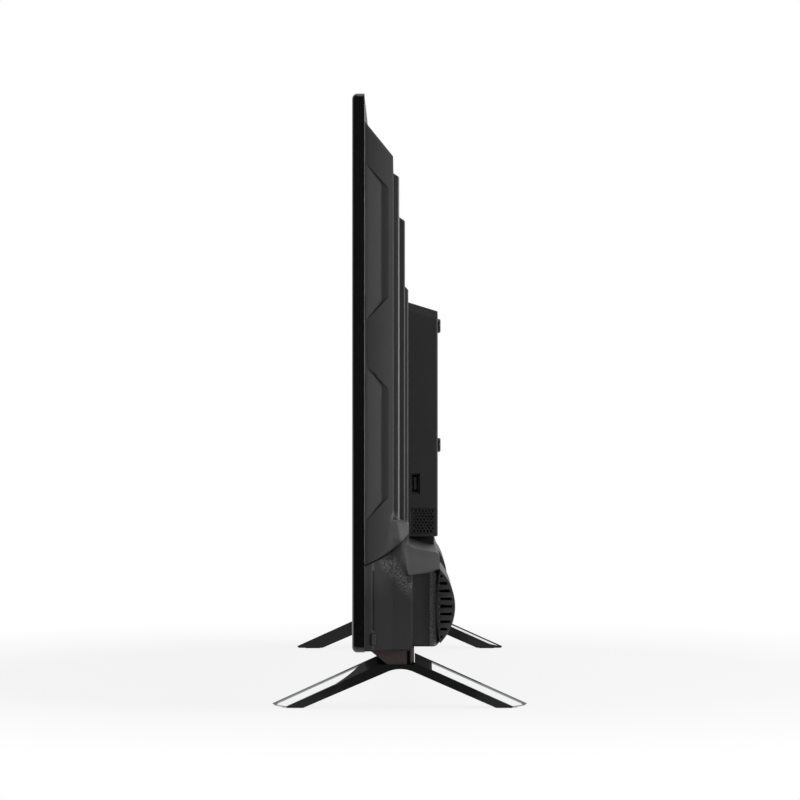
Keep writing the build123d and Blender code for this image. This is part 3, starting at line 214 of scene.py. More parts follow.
# Flat sockets over the rear pocket: the roots of their tongues
flat_socket_places = [(0.0388, 0.0128, 0.178), (0.0559, 0.0128, 0.178)]
tongue_thickness = 0.0022
contact_start = 0.001
contact_sizes = {"Contact count": 10, "Pitch": 0.00098, "Width": 0.0004, "Length": 0.011, "Proud": 0.0001}

# Floor: how white it is to the camera by distance from the set, and in reflections on the camera's side
floor_half = 30.0
floor_distances = (0.34, 0.66)
floor_shares = (0.84, 1.0)
floor_dim_across = (0.38, 0.5)
floor_dim_levels = (1.0, 0.03)

# World: plain light, and what reflections show towards the far side and straight overhead
world_strength = 0.3
far_side_directions = (0.0, -0.6)
far_side_levels = (0.06, 1.0)
overhead_directions = (0.93, 0.96)


# Small helpers for finishes

class Nodes:
    """Short calls for the nodes of a tree."""

    def __init__(self, tree):
        self.tree = tree

    def node(self, kind, inputs=None, **settings):
        """A node with its settings, and its inputs joined or filled in."""
        made = self.tree.nodes.new(kind)
        for name, value in settings.items():
            setattr(made, name, value)
        for name, value in (inputs or {}).items():
            if isinstance(value, bpy.types.NodeSocket):
                self.join(value, made.inputs[name])
            else:
                made.inputs[name].default_value = value
        return made

    def join(self, output, target):
        self.tree.links.new(output, target)

    def maths(self, operation, first, second=0.0):
        """Two values put together. Either may be a plain number."""
        return self.node("ShaderNodeMath", {0: first, 1: second}, operation=operation).outputs["Value"]

    def total(self, first, *others):
        """Several values added up."""
        for other in others:
            first = self.maths("ADD", first, other)
        return first

    def product(self, first, *others):
        """Several values multiplied."""
        for other in others:
            first = self.maths("MULTIPLY", first, other)
        return first

    def larger(self, first, second):
        """The larger of two values."""
        return self.maths("MAXIMUM", first, second)

    def above(self, value, limit):
        """One where a value is over a limit, and nothing elsewhere."""
        return self.maths("GREATER_THAN", value, limit)

    def below(self, value, limit):
        """One where a value is under a limit, and nothing elsewhere."""
        return self.maths("LESS_THAN", value, limit)

    def spread(self, value, low, high, start=0.0, end=1.0, interpolation="LINEAR"):
        """Carry a value from the span between start and end to the one between low and high."""
        inputs = {"Value": value, "From Min": start, "From Max": end, "To Min": low, "To Max": high}
        return self.node("ShaderNodeMapRange", inputs, interpolation_type=interpolation).outputs["Result"]

    def band(self, value, span, blur):
        """One inside a span and nothing outside it, with soft ends."""
        rise = self.spread(value, 0.0, 1.0, span[0] - blur / 2, span[0] + blur / 2)
        fall = self.spread(value, 1.0, 0.0, span[1] - blur / 2, span[1] + blur / 2)
        return self.product(rise, fall)

    def rays(self):
        """Whether a ray comes from the camera, and whether by way of a reflection or something clear."""
        seen = self.node("ShaderNodeLightPath")
        mirrored = self.larger(seen.outputs["Is Glossy Ray"], seen.outputs["Is Transmission Ray"])
        return seen.outputs["Is Camera Ray"], mirrored

    def blend(self, share, first, second):
        """Two shaders, blended by a share."""
        return self.node("ShaderNodeMixShader", {0: share, 1: first, 2: second}).outputs["Shader"]


class Finish(Nodes):
    """A material, with short calls for the patterns that a finish is made of."""

    def __init__(self, name, colour, roughness, metal=0.0, ior=1.5):
        self.material = bpy.data.materials.new(name)
        self.material.use_nodes = True
        super().__init__(self.material.node_tree)
        self.surface = self.tree.nodes["Principled BSDF"]
        self.give("Base Color", (*colour, 1.0))
        self.give("Roughness", roughness)
        self.give("Metallic", metal)
        self.give("IOR", ior)
        self.place = self.node("ShaderNodeTexCoord").outputs["Object"]

    def give(self, label, value):
        """Set one of the surface's own values, the same all over."""
        self.surface.inputs[label].default_value = value

    def noise(self, size, detail=2.0, scale=(1.0, 1.0, 1.0)):
        """A cloudy pattern whose blotches are about this size."""
        place = self.node("ShaderNodeMapping", {"Vector": self.place, "Scale": scale}).outputs["Vector"]
        inputs = {"Vector": place, "Scale": 1.0 / size, "Detail": detail}
        return self.node("ShaderNodeTexNoise", inputs).outputs["Fac"]

    def cells(self, size):
        """A pebbled pattern whose pebbles are about this size."""
        inputs = {"Vector": self.place, "Scale": 1.0 / size}
        return self.node("ShaderNodeTexVoronoi", inputs).outputs["Distance"]

    def axis(self, name):
        """One of the three coordinates of a point."""
        return self.node("ShaderNodeSeparateXYZ", {"Vector": self.place}).outputs[name]

    def across(self):
        """How far a point is from the middle of the set, to either side."""
        return self.maths("ABSOLUTE", self.axis("X"))

    def facing(self):
        """The direction that the surface faces."""
        return self.node("ShaderNodeNewGeometry").outputs["Normal"]

    def slope(self):
        """How steeply the surface faces up or down."""
        split = self.node("ShaderNodeSeparateXYZ", {"Vector": self.facing()})
        return self.maths("ABSOLUTE", split.outputs["Z"])

    def rounded(self, radius, samples):
        """The direction that the surface would face with its edges rounded."""
        return self.node("ShaderNodeBevel", {"Radius": radius}, samples=samples).outputs["Normal"]

    def edges(self, radius):
        """How much a surface turns within this radius: nothing on a flat, more at an edge."""
        sharp, flat = 0.7, 0.99
        directions = {0: self.rounded(radius, 6), 1: self.facing()}
        turned = self.node("ShaderNodeVectorMath", directions, operation="DOT_PRODUCT").outputs["Value"]
        return self.spread(turned, 1.0, 0.0, sharp, flat)

    def colours(self, share, first, second):
        """Two colours, blended by a share."""
        inputs = {"Factor": share, "A": (*first, 1.0), "B": (*second, 1.0)}
        return self.node("ShaderNodeMix", inputs, data_type="RGBA").outputs["Result"]

    def toned(self, colour, factor):
        """A colour made lighter or darker from place to place."""
        inputs = {0: colour, "Scale": factor}
        return self.node("ShaderNodeVectorMath", inputs, operation="SCALE").outputs["Vector"]

    def paint(self, colour):
        self.join(colour, self.surface.inputs["Base Color"])

    def roughen(self, value):
        self.join(value, self.surface.inputs["Roughness"])

    def emboss(self, height, depth, strength, edge=None):
        """Raise and lower the surface by a pattern, this deep in metres, over softened edges. The edges' radius
        is a plain number, or what a function makes of the finish."""
        inputs = {"Height": height, "Distance": depth, "Strength": strength}
        if edge:
            inputs["Normal"] = self.rounded(edge if isinstance(edge, float) else edge(self), 8)
        self.join(self.node("ShaderNodeBump", inputs).outputs["Normal"], self.surface.inputs["Normal"])


# Most of a noise pattern lies between these values
noise_span = (0.3, 0.7)


def shade(colour, factor):
    """A lighter or darker tone of a colour."""
    return tuple(channel * factor for channel in colour)


def grained_plastic(name, colour, roughness, pebble, depth, edge=plain_edge_radius, tones=None, gloss=0.5):
    """Spark-textured moulded plastic: fine pebbles, faint mottling and a slightly uneven sheen."""
    mottle = 0.07
    unevenness = 0.025
    finish = Finish(name, colour, roughness, ior=1.46)
    finish.give("Specular IOR Level", gloss)
    clouds = finish.noise(0.05, detail=4.0)
    skin = finish.colours(clouds, shade(colour, 1 - mottle), shade(colour, 1 + mottle))
    # Tones, where given, are painted light and shade
    finish.paint(finish.toned(skin, tones(finish)) if tones else skin)
    sheen = finish.noise(0.012, detail=3.0)
    finish.roughen(finish.spread(sheen, roughness - unevenness, roughness + unevenness, *noise_span))
    pebbles = finish.total(finish.cells(pebble), finish.noise(pebble * 4))
    finish.emboss(pebbles, depth, strength=0.6, edge=edge)
    return finish.material


def polished_plastic(name, colour, roughness, gloss=0.5, dullness=None):
    """High-gloss moulding: a faint flow ripple, fine handling marks, and dull parts where it has any."""
    finish = Finish(name, colour, roughness, ior=1.49)
    finish.give("Specular IOR Level", gloss)
    finish.give("Coat Weight", gloss / 2)
    finish.give("Coat Roughness", 0.03)
    clouds = finish.noise(0.09, detail=3.0)
    finish.paint(finish.colours(clouds, shade(colour, 0.8), shade(colour, 1.25)))
    handling = finish.noise(0.004, detail=5.0)
    polish = finish.spread(handling, roughness, roughness + 0.05, 0.45, 0.8)
    finish.roughen(finish.larger(polish, dullness(finish)) if dullness else polish)
    finish.emboss(finish.noise(0.03, detail=1.0), 0.00003, strength=0.3, edge=plain_edge_radius)
    return finish.material


def bare_metal(name, colour, roughness, scale, metal):
    """Metal with drawn or rolled lines, which run along the axis that has the smallest scale."""
    finish = Finish(name, colour, roughness, metal=metal)
    lines = finish.noise(0.0015, 4.0, scale)
    finish.paint(finish.colours(lines, shade(colour, 0.82), shade(colour, 1.1)))
    finish.roughen(finish.spread(lines, roughness - 0.07, roughness + 0.1, *noise_span))
    finish.emboss(lines, 0.00002, strength=0.4)
    return finish.material


def bright_trim(name):
    """Plated trim: mirror-like, with faint orange peel, and painted dark reflections along its inner edge and
    at its tip.
    """
    plated = (0.86, 0.87, 0.88)
    # Colour of the painted dark reflections
    painted_dark_reflection = (0.14, 0.142, 0.145)
    finish = Finish(name, plated, 0.05, metal=1.0)
    edge = finish.band(finish.across(), trim_line_across, blur=0.0003)
    tip = finish.spread(finish.axis("Z"), 1.0, 0.0, *trim_tip_heights)
    finish.paint(finish.colours(finish.larger(edge, tip), plated, painted_dark_reflection))
    finish.roughen(finish.spread(finish.noise(0.006, detail=4.0), 0.04, 0.11, 0.4, 0.75))
    finish.emboss(finish.noise(0.02, detail=1.0), 0.00004, strength=0.25)
    return finish.material


def soft_rubber(name):
    """Matt rubber, dusty and finely pitted."""
    finish = Finish(name, (0.02, 0.02, 0.02), 0.85)
    dust = finish.noise(0.003, detail=4.0)
    finish.paint(finish.colours(dust, (0.014, 0.014, 0.014), (0.035, 0.034, 0.033)))
    finish.emboss(finish.cells(0.0008), 0.00008, strength=0.5)
    return finish.material


def circuit_board(name, mask, copper):
    """Lacquered board with tracks that show through the lacquer."""
    finish = Finish(name, mask, 0.32)
    upright = {"Vector": finish.place, "Rotation": (math.radians(90), 0.0, 0.0)}
    place = finish.node("ShaderNodeMapping", upright).outputs["Vector"]
    inputs = {"Vector": place, "Scale": 160.0, "Mortar Size": 0.05}
    tracks = finish.node("ShaderNodeTexBrick", inputs, offset=0.5).outputs["Fac"]
    patches = finish.spread(finish.noise(0.008), 0.0, 0.8, 0.5, 0.6)
    finish.paint(finish.colours(finish.product(tracks, patches), mask, copper))
    finish.emboss(tracks, 0.00005, strength=0.5)
    return finish.material


def milky_sheet(name):
    """White light-spreading sheet with a soft grain."""
    finish = Finish(name, (0.86, 0.86, 0.85), 0.5)
    finish.paint(finish.colours(finish.noise(0.02), (0.84, 0.84, 0.83), (0.9, 0.9, 0.89)))
    finish.emboss(finish.cells(0.0005), 0.00003, strength=0.4)
    return finish.material


def screen_glass(name):
    """Dark polarised panel: anti-glare haze, a black border and a very fine pixel grid."""
    finish = Finish(name, (0.008, 0.009, 0.011), 0.16)
    beside = finish.above(finish.across(), cabinet_width / 2 - screen_border - panel_black_edge)
    below = finish.below(finish.axis("Z"), cabinet_low + chin_height + panel_black_edge)
    above = finish.above(finish.axis("Z"), cabinet_high - screen_border - panel_black_edge)
    border = finish.larger(finish.larger(beside, below), above)
    finish.paint(finish.colours(border, (0.0085, 0.0095, 0.012), (0.0035, 0.0035, 0.004)))
    finish.roughen(finish.spread(finish.noise(0.05, detail=3.0), 0.13, 0.2, *noise_span))
    finish.emboss(finish.noise(0.0004), 0.000004, strength=0.3)
    return finish.material


def pressed_paper(name):
    """Speaker cone paper."""
    finish = Finish(name, (0.03, 0.03, 0.03), 0.8)
    fibres = finish.noise(0.002, detail=5.0)
    finish.paint(finish.colours(fibres, (0.018, 0.018, 0.018), (0.045, 0.044, 0.042)))
    finish.emboss(finish.noise(0.001, detail=4.0), 0.00008, strength=0.6)
    return finish.material


def clear_lens(name):
    """Clear moulded lens over a diode."""
    finish = Finish(name, (0.86, 0.88, 0.9), 0.08)
    finish.give("Transmission Weight", 0.7)
    finish.emboss(finish.noise(0.002), 0.00002, strength=0.2)
    return finish.material


def part_line_dust_and_shade(finish):
    """Dust, and painted shadow, along the line where the two rear covers part."""
    height = finish.axis("Z")
    rise = finish.maths("SUBTRACT", height, part_line_centre[1])
    depth = finish.maths("SUBTRACT", finish.axis("Y"), part_line_centre[0])
    squares = finish.total(finish.product(rise, rise), finish.product(depth, depth))
    away = finish.maths("SUBTRACT", finish.maths("POWER", squares, 0.5), part_line_radius)
    line = finish.spread(finish.maths("ABSOLUTE", away), part_line_tone, 1.0, *part_line_edge)
    return finish.larger(line, finish.spread(height, 0.0, 1.0, *part_line_top))


def cover_softness(finish):
    """How round a rear cover's edges look: broad where the shoulder flows into the hood, middling along the
    side wall apart from the scoops' ends, and small elsewhere."""
    across = finish.across()
    height = finish.axis("Z")
    depth = finish.axis("Y")
    shoulder = finish.product(
        finish.spread(across, 0.0, 1.0, *shoulder_edge_across),
        finish.band(height, shoulder_edge_heights, blur=0.012),
        finish.spread(depth, 0.0, 1.0, *shoulder_edge_depths),
    )
    wall = finish.product(
        finish.above(across, wall_edge_across),
        finish.above(height, wall_edge_low),
        finish.band(depth, wall_edge_depths, blur=0.003),
    )
    for end in scoop_ends:
        wall = finish.product(wall, finish.maths("SUBTRACT", 1.0, finish.band(height, end, blur=0.004)))
    shoulder = finish.product(shoulder, shoulder_edge_radius)
    wall = finish.product(wall, wall_edge_radius)
    return finish.total(finish.larger(shoulder, wall), plain_edge_radius)


def yoke_dullness(finish):
    """The foot is dull around its yoke, and polished along its legs."""
    away = finish.maths("ABSOLUTE", finish.maths("SUBTRACT", finish.axis("Y"), yoke_centre))
    return finish.spread(away, yoke_roughness, 0.0, *yoke_reach)


def neck_tones(finish):
    """The foot's neck: painted shade in its slot and behind it."""
    depth = finish.axis("Y")
    slot = finish.product(finish.band(depth, neck_slot_depths, blur=0.0003), neck_slot_shade)
    behind = finish.spread(depth, 0.0, neck_back_shade, *neck_back_depths)
    return finish.total(slot, behind, 1.0)


def painted_edge_highlight(finish, amount):
    """Painted highlight along the edges, lighter where the surface turns."""
    return finish.total(finish.product(finish.edges(0.0008), amount), 1.0)


def upper_tones(finish):
    """The upper cover: painted light towards the back of its side wall and at the scoops' ends, a painted
    highlight along the first rim and along its edges, painted shade along its front seam and on its inner
    terraces, and dust and painted shadow along the line to the lower cover."""
    depth = finish.axis("Y")
    across = finish.across()
    wall = finish.spread(depth, *side_wall_painted_shading, *side_wall_depths)
    heights = finish.band(finish.axis("Z"), scoop_heights, blur=0.002)
    scooped = finish.product(finish.above(across, scoop_across), heights)
    ends = finish.product(finish.slope(), scooped, scoop_end_glow)
    wall = finish.product(wall, finish.total(ends, 1.0))
    rim = finish.product(
        finish.band(across, first_rim_across, blur=0.0006),
        finish.spread(depth, 0.0, 1.0, *first_rim_depths),
        first_rim_glow,
    )
    rim = finish.product(finish.total(rim, 1.0), finish.spread(across, terrace_shade, 1.0, *terrace_across))
    seam = finish.product(part_line_dust_and_shade(finish), finish.spread(depth, front_seam_shade, 1.0, *front_seam_shade_depths))
    return finish.product(wall, rim, seam, painted_edge_highlight(finish, upper_cover_edge_highlight))


def lower_tones(finish):
    """The lower cover: painted shade on its side panel, sole and flank, a speckled painted highlight along the
    crease under the shoulder, speckled painted light on the housing's corner, painted light in the side
    recess and in the panel's groove, dust and painted shadow along the parting line, and a painted highlight
    along its edges."""
    depth = finish.axis("Y")
    height = finish.axis("Z")
    across = finish.across()
    panel = finish.spread(depth, side_panel_shade, 1.0, *side_panel_back)
    panel = finish.product(panel, finish.spread(height, sole_shade, 1.0, *sole_heights))
    panel_top = finish.product(
        finish.spread(height, 0.0, panel_top_glow, *panel_top_heights),
        finish.spread(depth, 1.0, 0.0, *panel_top_depths),
    )
    panel = finish.total(panel, panel_top)
    flank_low = finish.spread(depth, *flank_low_heights, *flank_low_depths)
    flank = finish.product(
        finish.below(height, flank_high),
        finish.above(height, flank_low),
        finish.spread(depth, 0.0, 1.0, *flank_front),
        finish.spread(depth, *flank_shades, *flank_depths),
    )
    specks = finish.spread(finish.noise(speck_size, detail=1.0), 0.0, 1.0, 0.5, 0.55)
    slant = finish.total(finish.product(depth, crease_slope[0]), finish.product(height, crease_slope[1]))
    crease = finish.product(
        finish.band(finish.maths("SUBTRACT", slant, crease_offset), crease_width, blur=0.005),
        finish.band(depth, crease_depths, blur=0.008),
        specks,
        crease_glow,
    )
    corner = finish.product(
        finish.band(depth, corner_depths, blur=0.0008),
        finish.band(across, corner_across, blur=0.0005),
        finish.spread(height, 1.0, 0.0, *corner_top),
        finish.total(finish.product(specks, corner_speck_glow), corner_glow),
    )
    recess = finish.product(finish.band(depth, recess_depths, blur=0.0004), finish.below(height, recess_top))
    groove = finish.product(finish.band(depth, groove_depths, blur=0.0002), finish.above(across, groove_across))
    marks = (crease, corner, finish.product(recess, recess_glow), finish.product(groove, groove_glow))
    tones = finish.product(panel, finish.total(flank, 1.0), finish.total(*marks, 1.0))
    return finish.product(tones, part_line_dust_and_shade(finish), painted_edge_highlight(finish, lower_cover_edge_highlight))


def box_tones(finish):
    """The electronics cover: a painted highlight along its edges, and painted shade on the facets on top."""
    steep = finish.product(finish.slope(), finish.above(finish.axis("Z"), box_top_low))
    facets = finish.product(finish.above(steep, box_top_slope), box_top_shade)
    return finish.product(finish.total(facets, 1.0), painted_edge_highlight(finish, box_edge_highlight))


charcoal = (0.034, 0.034, 0.034)

# Plain plastics: colour, roughness, size of the pebbles and their depth
plain_plastics = {
    "vent": (shade(charcoal, 0.8), 0.5, 0.0007, 0.00004),
    "parts": ((0.03, 0.03, 0.033), 0.45, 0.0006, 0.00003),
    "ribbon": ((0.7, 0.7, 0.67), 0.4, 0.0006, 0.00002),
    "inlet": ((0.012, 0.012, 0.012), 0.4, 0.0007, 0.00003),
    "grille": (charcoal, 0.46, 0.0008, 0.00004),
    "speaker_case": ((0.02, 0.02, 0.02), 0.5, 0.0009, 0.00005),
    "key": (shade(charcoal, 0.8), 0.45, 0.0006, 0.00003),
}

# Plastics with painted light and shade in their tones: colour, roughness, pebbles, their depth, softness of
# edges, tones, gloss
marked_plastics = {
    "cover": (shade(charcoal, 1.08), 0.5, 0.0009, 0.00006, cover_softness, upper_tones, 0.35),
    "cover_low": (charcoal, 0.5, 0.0009, 0.00006, cover_softness, lower_tones, 0.3),
    "cover_box": (shade(charcoal, 1.05), 0.55, 0.0009, 0.00006, plain_edge_radius, box_tones, 0.25),
    "neck": ((0.062, 0.046, 0.046), 0.5, 0.0008, 0.00004, plain_edge_radius, neck_tones, 0.15),
}

# Metals: colour, roughness, scale of the drawn lines along X, Y and Z, and how metallic they are
metals = {
    "steel": ((0.5, 0.51, 0.52), 0.36, (0.15, 1.0, 1.0), 1.0),
    "aluminium": ((0.75, 0.75, 0.76), 0.3, (0.1, 1.0, 1.0), 1.0),
    "standoff": ((0.04, 0.04, 0.042), 0.35, (1.0, 0.1, 1.0), 0.8),
    "screw_steel": ((0.6, 0.6, 0.6), 0.3, (1.0, 1.0, 1.0), 1.0),
    "screw_black": ((0.02, 0.02, 0.021), 0.38, (1.0, 1.0, 1.0), 0.6),
    "socket_metal": ((0.62, 0.62, 0.63), 0.22, (1.0, 0.2, 1.0), 1.0),
    "socket_black": ((0.09, 0.09, 0.092), 0.5, (1.0, 0.2, 1.0), 0.3),
    "pins": ((0.75, 0.66, 0.45), 0.22, (0.2, 1.0, 1.0), 1.0),
}

finishes = {
    "bezel_gloss": polished_plastic("bezel_gloss", (0.0035, 0.0035, 0.0038), 0.09),
    "window": polished_plastic("window", (0.02, 0.003, 0.003), 0.06),
    "foot_gloss": polished_plastic("foot_gloss", (0.0065, 0.0065, 0.0065), 0.14, 0.2, yoke_dullness),
    "screen": screen_glass("screen"),
    "film": milky_sheet("film"),
    "lens": clear_lens("lens"),
    "board": circuit_board("board", (0.012, 0.09, 0.035), (0.05, 0.22, 0.07)),
    "board_tan": circuit_board("board_tan", (0.36, 0.24, 0.1), (0.5, 0.36, 0.17)),
    "cone": pressed_paper("cone"),
    "trim": bright_trim("trim"),
    "rubber": soft_rubber("rubber"),
}
for name, values in (plain_plastics | marked_plastics).items():
    finishes[name] = grained_plastic(name, *values)
for name, values in metals.items():
    finishes[name] = bare_metal(name, *values)


def dress_nodes():
    """Give every construction node the finish that its slot names."""
    for part in frame["record"]["subparts"]:
        piece = frame["nodes"][part["node"]]
        for place in piece.material_slots:
            place.material = finishes[part["material_slot"]]
        if not piece.material_slots:
            piece.data.materials.append(finishes[part["material_slot"]])


# Pieces made by repeating a form

class Pattern(Nodes):
    """A Geometry Nodes tree with named sizes."""

    def __init__(self, name, sizes):
        super().__init__(bpy.data.node_groups.new(name, "GeometryNodeTree"))
        self.sizes = sizes
        face = self.tree.interface
        face.new_socket("Geometry", in_out="INPUT", socket_type="NodeSocketGeometry")
        face.new_socket("Geometry", in_out="OUTPUT", socket_type="NodeSocketGeometry")
        self.sockets = {}
        for label, value in sizes.items():
            kind = "NodeSocketInt" if isinstance(value, int) else "NodeSocketFloat"
            socket = face.new_socket(label, in_out="INPUT", socket_type=kind)
            socket.default_value = value
            self.sockets[label] = socket.identifier
        self.given = self.node("NodeGroupInput")
        self.end = self.node("NodeGroupOutput")

    def size(self, label):
        """One of the tree's named sizes."""
        return self.given.outputs[label]

    def vector(self, x=0.0, y=0.0, z=0.0):
        """A point or a step made of three values."""
        return self.node("ShaderNodeCombineXYZ", {"X": x, "Y": y, "Z": z}).outputs["Vector"]

    def shift(self, mesh, step=None, turn=(0.0, 0.0, 0.0)):
        """A form moved by a step and turned."""
        inputs = {"Geometry": mesh, "Rotation": turn}
        if step is not None:
            inputs["Translation"] = step
        return self.node("GeometryNodeTransform", inputs).outputs["Geometry"]

    def row(self, count, pitch, axis):
        """Points along an axis, with the middle of the row on the origin."""
        first = self.maths("MULTIPLY", self.maths("SUBTRACT", count, 1.0), -0.5)
        start = self.vector(**{axis: self.maths("MULTIPLY", first, pitch)})
        step = self.vector(**{axis: pitch})
        line = self.node("GeometryNodeMeshLine", {"Count": count, "Start Location": start, "Offset": step})
        return line.outputs["Mesh"]

    def repeat(self, points, form, **inputs):
        """A form set on every point."""
        names = {"Points": points, "Instance": form} | inputs
        return self.node("GeometryNodeInstanceOnPoints", names).outputs["Instances"]

    def together(self, *forms):
        """Several forms as one."""
        joined = self.node("GeometryNodeJoinGeometry")
        for form in forms:
            self.join(form, joined.inputs["Geometry"])
        return joined.outputs["Geometry"]

    def without(self, form, cutter):
        """A form with another cut out of it."""
        cut = self.node("GeometryNodeMeshBoolean", {"Mesh 1": form}, operation="DIFFERENCE", solver="EXACT")
        self.join(cutter, cut.inputs["Mesh 2"])
        return cut.outputs["Mesh"]

    def close(self, form, material, turn=(0.0, 0.0, 0.0)):
        """The tree's last nodes: the form, turned, on every given place, as a plain mesh with its finish."""
        placed = self.repeat(self.given.outputs["Geometry"], form, Rotation=turn)
        real = self.node("GeometryNodeRealizeInstances", {"Geometry": placed}).outputs["Geometry"]
        done = self.node("GeometryNodeSetMaterial", {"Geometry": real, "Material": material})
        self.join(done.outputs["Geometry"], self.end.inputs["Geometry"])


def plain_piece(name, mesh, material):
    """A finished mesh as a piece that rides on the cabinet."""
    mesh.name = name
    if not mesh.materials:
        mesh.materials.append(material)
    piece = bpy.data.objects.new(name, mesh)
    bpy.context.scene.collection.objects.link(piece)
    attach(piece, "cabinet")
    return piece


def taken_mesh(holder):
    """The mesh that a holder's modifiers make. The holder goes."""
    mesh = bpy.data.meshes.new_from_object(holder.evaluated_get(bpy.context.evaluated_depsgraph_get()))
    bpy.data.objects.remove(holder)
    return mesh


def grown_mesh(name, places, pattern):
    """The mesh that a pattern grows on some places."""
    seed = bpy.data.meshes.new(name)
    seed.from_pydata(places, [], [])
    holder = bpy.data.objects.new(name + "_seed", seed)
    bpy.context.scene.collection.objects.link(holder)
    growth = holder.modifiers.new("growth", "NODES")
    growth.node_group = pattern.tree
    for label, identifier in pattern.sockets.items():
        growth[identifier] = pattern.sizes[label]
    return taken_mesh(holder)


def soften(mesh, width):
    """Round a mesh's sharp edges."""
    holder = bpy.data.objects.new("soften", mesh)
    bpy.context.scene.collection.objects.link(holder)
    bevel = holder.modifiers.new("edge", "BEVEL")
    bevel.width = width
    bevel.segments = 2
    bevel.limit_method = "ANGLE"
    bevel.angle_limit = math.radians(40)
    rounded = taken_mesh(holder)
    for face in rounded.polygons:
        face.use_smooth = True
    rounded.set_sharp_from_angle(angle=math.radians(35))
    return rounded


def mirrored_mesh(mesh):
    """The twin of a mesh on the other half of the set."""
    twin = mesh.copy()
    twin.transform(Matrix.Scale(-1, 4, (1, 0, 0)))
    twin.flip_normals()
    return twin


def screw_pattern(name, material, sizes, turn):
    """Pan-head screws with a cross recess. The place of a screw is the middle of its seat."""
    crown_share, crown_taper = 0.45, 0.72
    recess_length, recess_width = 1.15, 0.26
    pattern = Pattern(name, sizes)
    radius = pattern.size("Head radius")
    height = pattern.size("Head height")
    crown = pattern.maths("MULTIPLY", height, crown_share)
    rim = pattern.maths("SUBTRACT", height, crown)
    drum = pattern.node("GeometryNodeMeshCylinder", {"Vertices": 32, "Radius": radius, "Depth": rim})
    drum = pattern.shift(drum.outputs["Mesh"], pattern.vector(z=pattern.maths("MULTIPLY", rim, 0.5)))
    dome = pattern.node("GeometryNodeMeshCone", {
        "Vertices": 32, "Side Segments": 3, "Radius Bottom": radius,
        "Radius Top": pattern.maths("MULTIPLY", radius, crown_taper), "Depth": crown,
    })
    dome = pattern.shift(dome.outputs["Mesh"], pattern.vector(z=rim))
    shank = pattern.node("GeometryNodeMeshCylinder", {
        "Vertices": 16, "Radius": pattern.size("Shank radius"), "Depth": pattern.size("Shank length"),
    })
    drop = pattern.maths("MULTIPLY", pattern.size("Shank length"), -0.5)
    shank = pattern.shift(shank.outputs["Mesh"], pattern.vector(z=drop))
    long = pattern.maths("MULTIPLY", radius, recess_length)
    wide = pattern.maths("MULTIPLY", radius, recess_width)
    wing = pattern.node("GeometryNodeMeshCube", {"Size": pattern.vector(long, wide, height)}).outputs["Mesh"]
    wings = pattern.together(wing, pattern.shift(wing, turn=(0.0, 0.0, math.pi / 2)))
    wings = pattern.shift(wings, pattern.vector(z=height))
    whole = pattern.together(pattern.without(drum, wings), pattern.without(dome, wings), shank)
    pattern.close(whole, material, turn)
    return pattern


def make_screws():
    """Screws of the covers, of the electronics cover and of the feet."""
    backwards = (-math.pi / 2, 0.0, 0.0)
    down = (math.pi, 0.0, 0.0)
    black = finishes["screw_black"]
    cover_seats = [(x, y - screw_well, z) for x, y, z in cover_screw_places]
    box_seats = [(x, y - screw_well, z) for x, y, z in box_screw_places]
    foot_seats = [(x, y, z + foot_screw["Head height"]) for x, y, z in foot_screw_places]
    groups = (
        ("cover_screw_set", "cover_screws", cover_seats, cover_screw, backwards),
        ("box_screw_set", "box_screws", box_seats, box_screw, backwards),
        ("foot_screw_set", "foot_screws", foot_seats, foot_screw, down),
    )
    for name, node, seats, sizes, turn in groups:
        mesh = soften(grown_mesh(name, seats, screw_pattern(name, black, sizes, turn)), screw_edge)
        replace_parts(plain_piece(name, mesh, black), node)


def lens_plate(pattern):
    """The grille's plate: a sheet between two arcs, made thick."""
    half = pattern.size("Half height")
    low = pattern.vector(y=pattern.maths("MULTIPLY", half, -1.0))
    high = pattern.vector(y=half)
    arcs = []
    for reach, first, last in (
        (pattern.size("Sagitta"), low, high),
        (pattern.maths("MULTIPLY", pattern.size("Front sagitta"), -1.0), high, low),
    ):
        arc = pattern.node("GeometryNodeCurveArc", {
            "Resolution": 40, "Start": first, "Middle": pattern.vector(x=reach), "End": last,
        }, mode="POINTS")
        arcs.append(pattern.node("GeometryNodeCurveToMesh", {"Curve": arc.outputs["Curve"]}).outputs["Mesh"])
    outline = pattern.node("GeometryNodeMergeByDistance", {"Geometry": pattern.together(*arcs)})
    ring = pattern.node("GeometryNodeMeshToCurve", {"Mesh": outline.outputs["Geometry"]})
    sheet = pattern.node("GeometryNodeFillCurve", {"Curve": ring.outputs["Curve"]}).outputs["Mesh"]
    raised = pattern.node("GeometryNodeExtrudeMesh", {
        "Mesh": sheet, "Individual": False,
        "Offset": pattern.vector(z=1.0), "Offset Scale": pattern.size("Thickness"),
    }).outputs["Mesh"]
    under = pattern.node("GeometryNodeFlipFaces", {"Mesh": sheet}).outputs["Mesh"]
    plate = pattern.node("GeometryNodeMergeByDistance", {"Geometry": pattern.together(raised, under)})
    return plate.outputs["Geometry"]


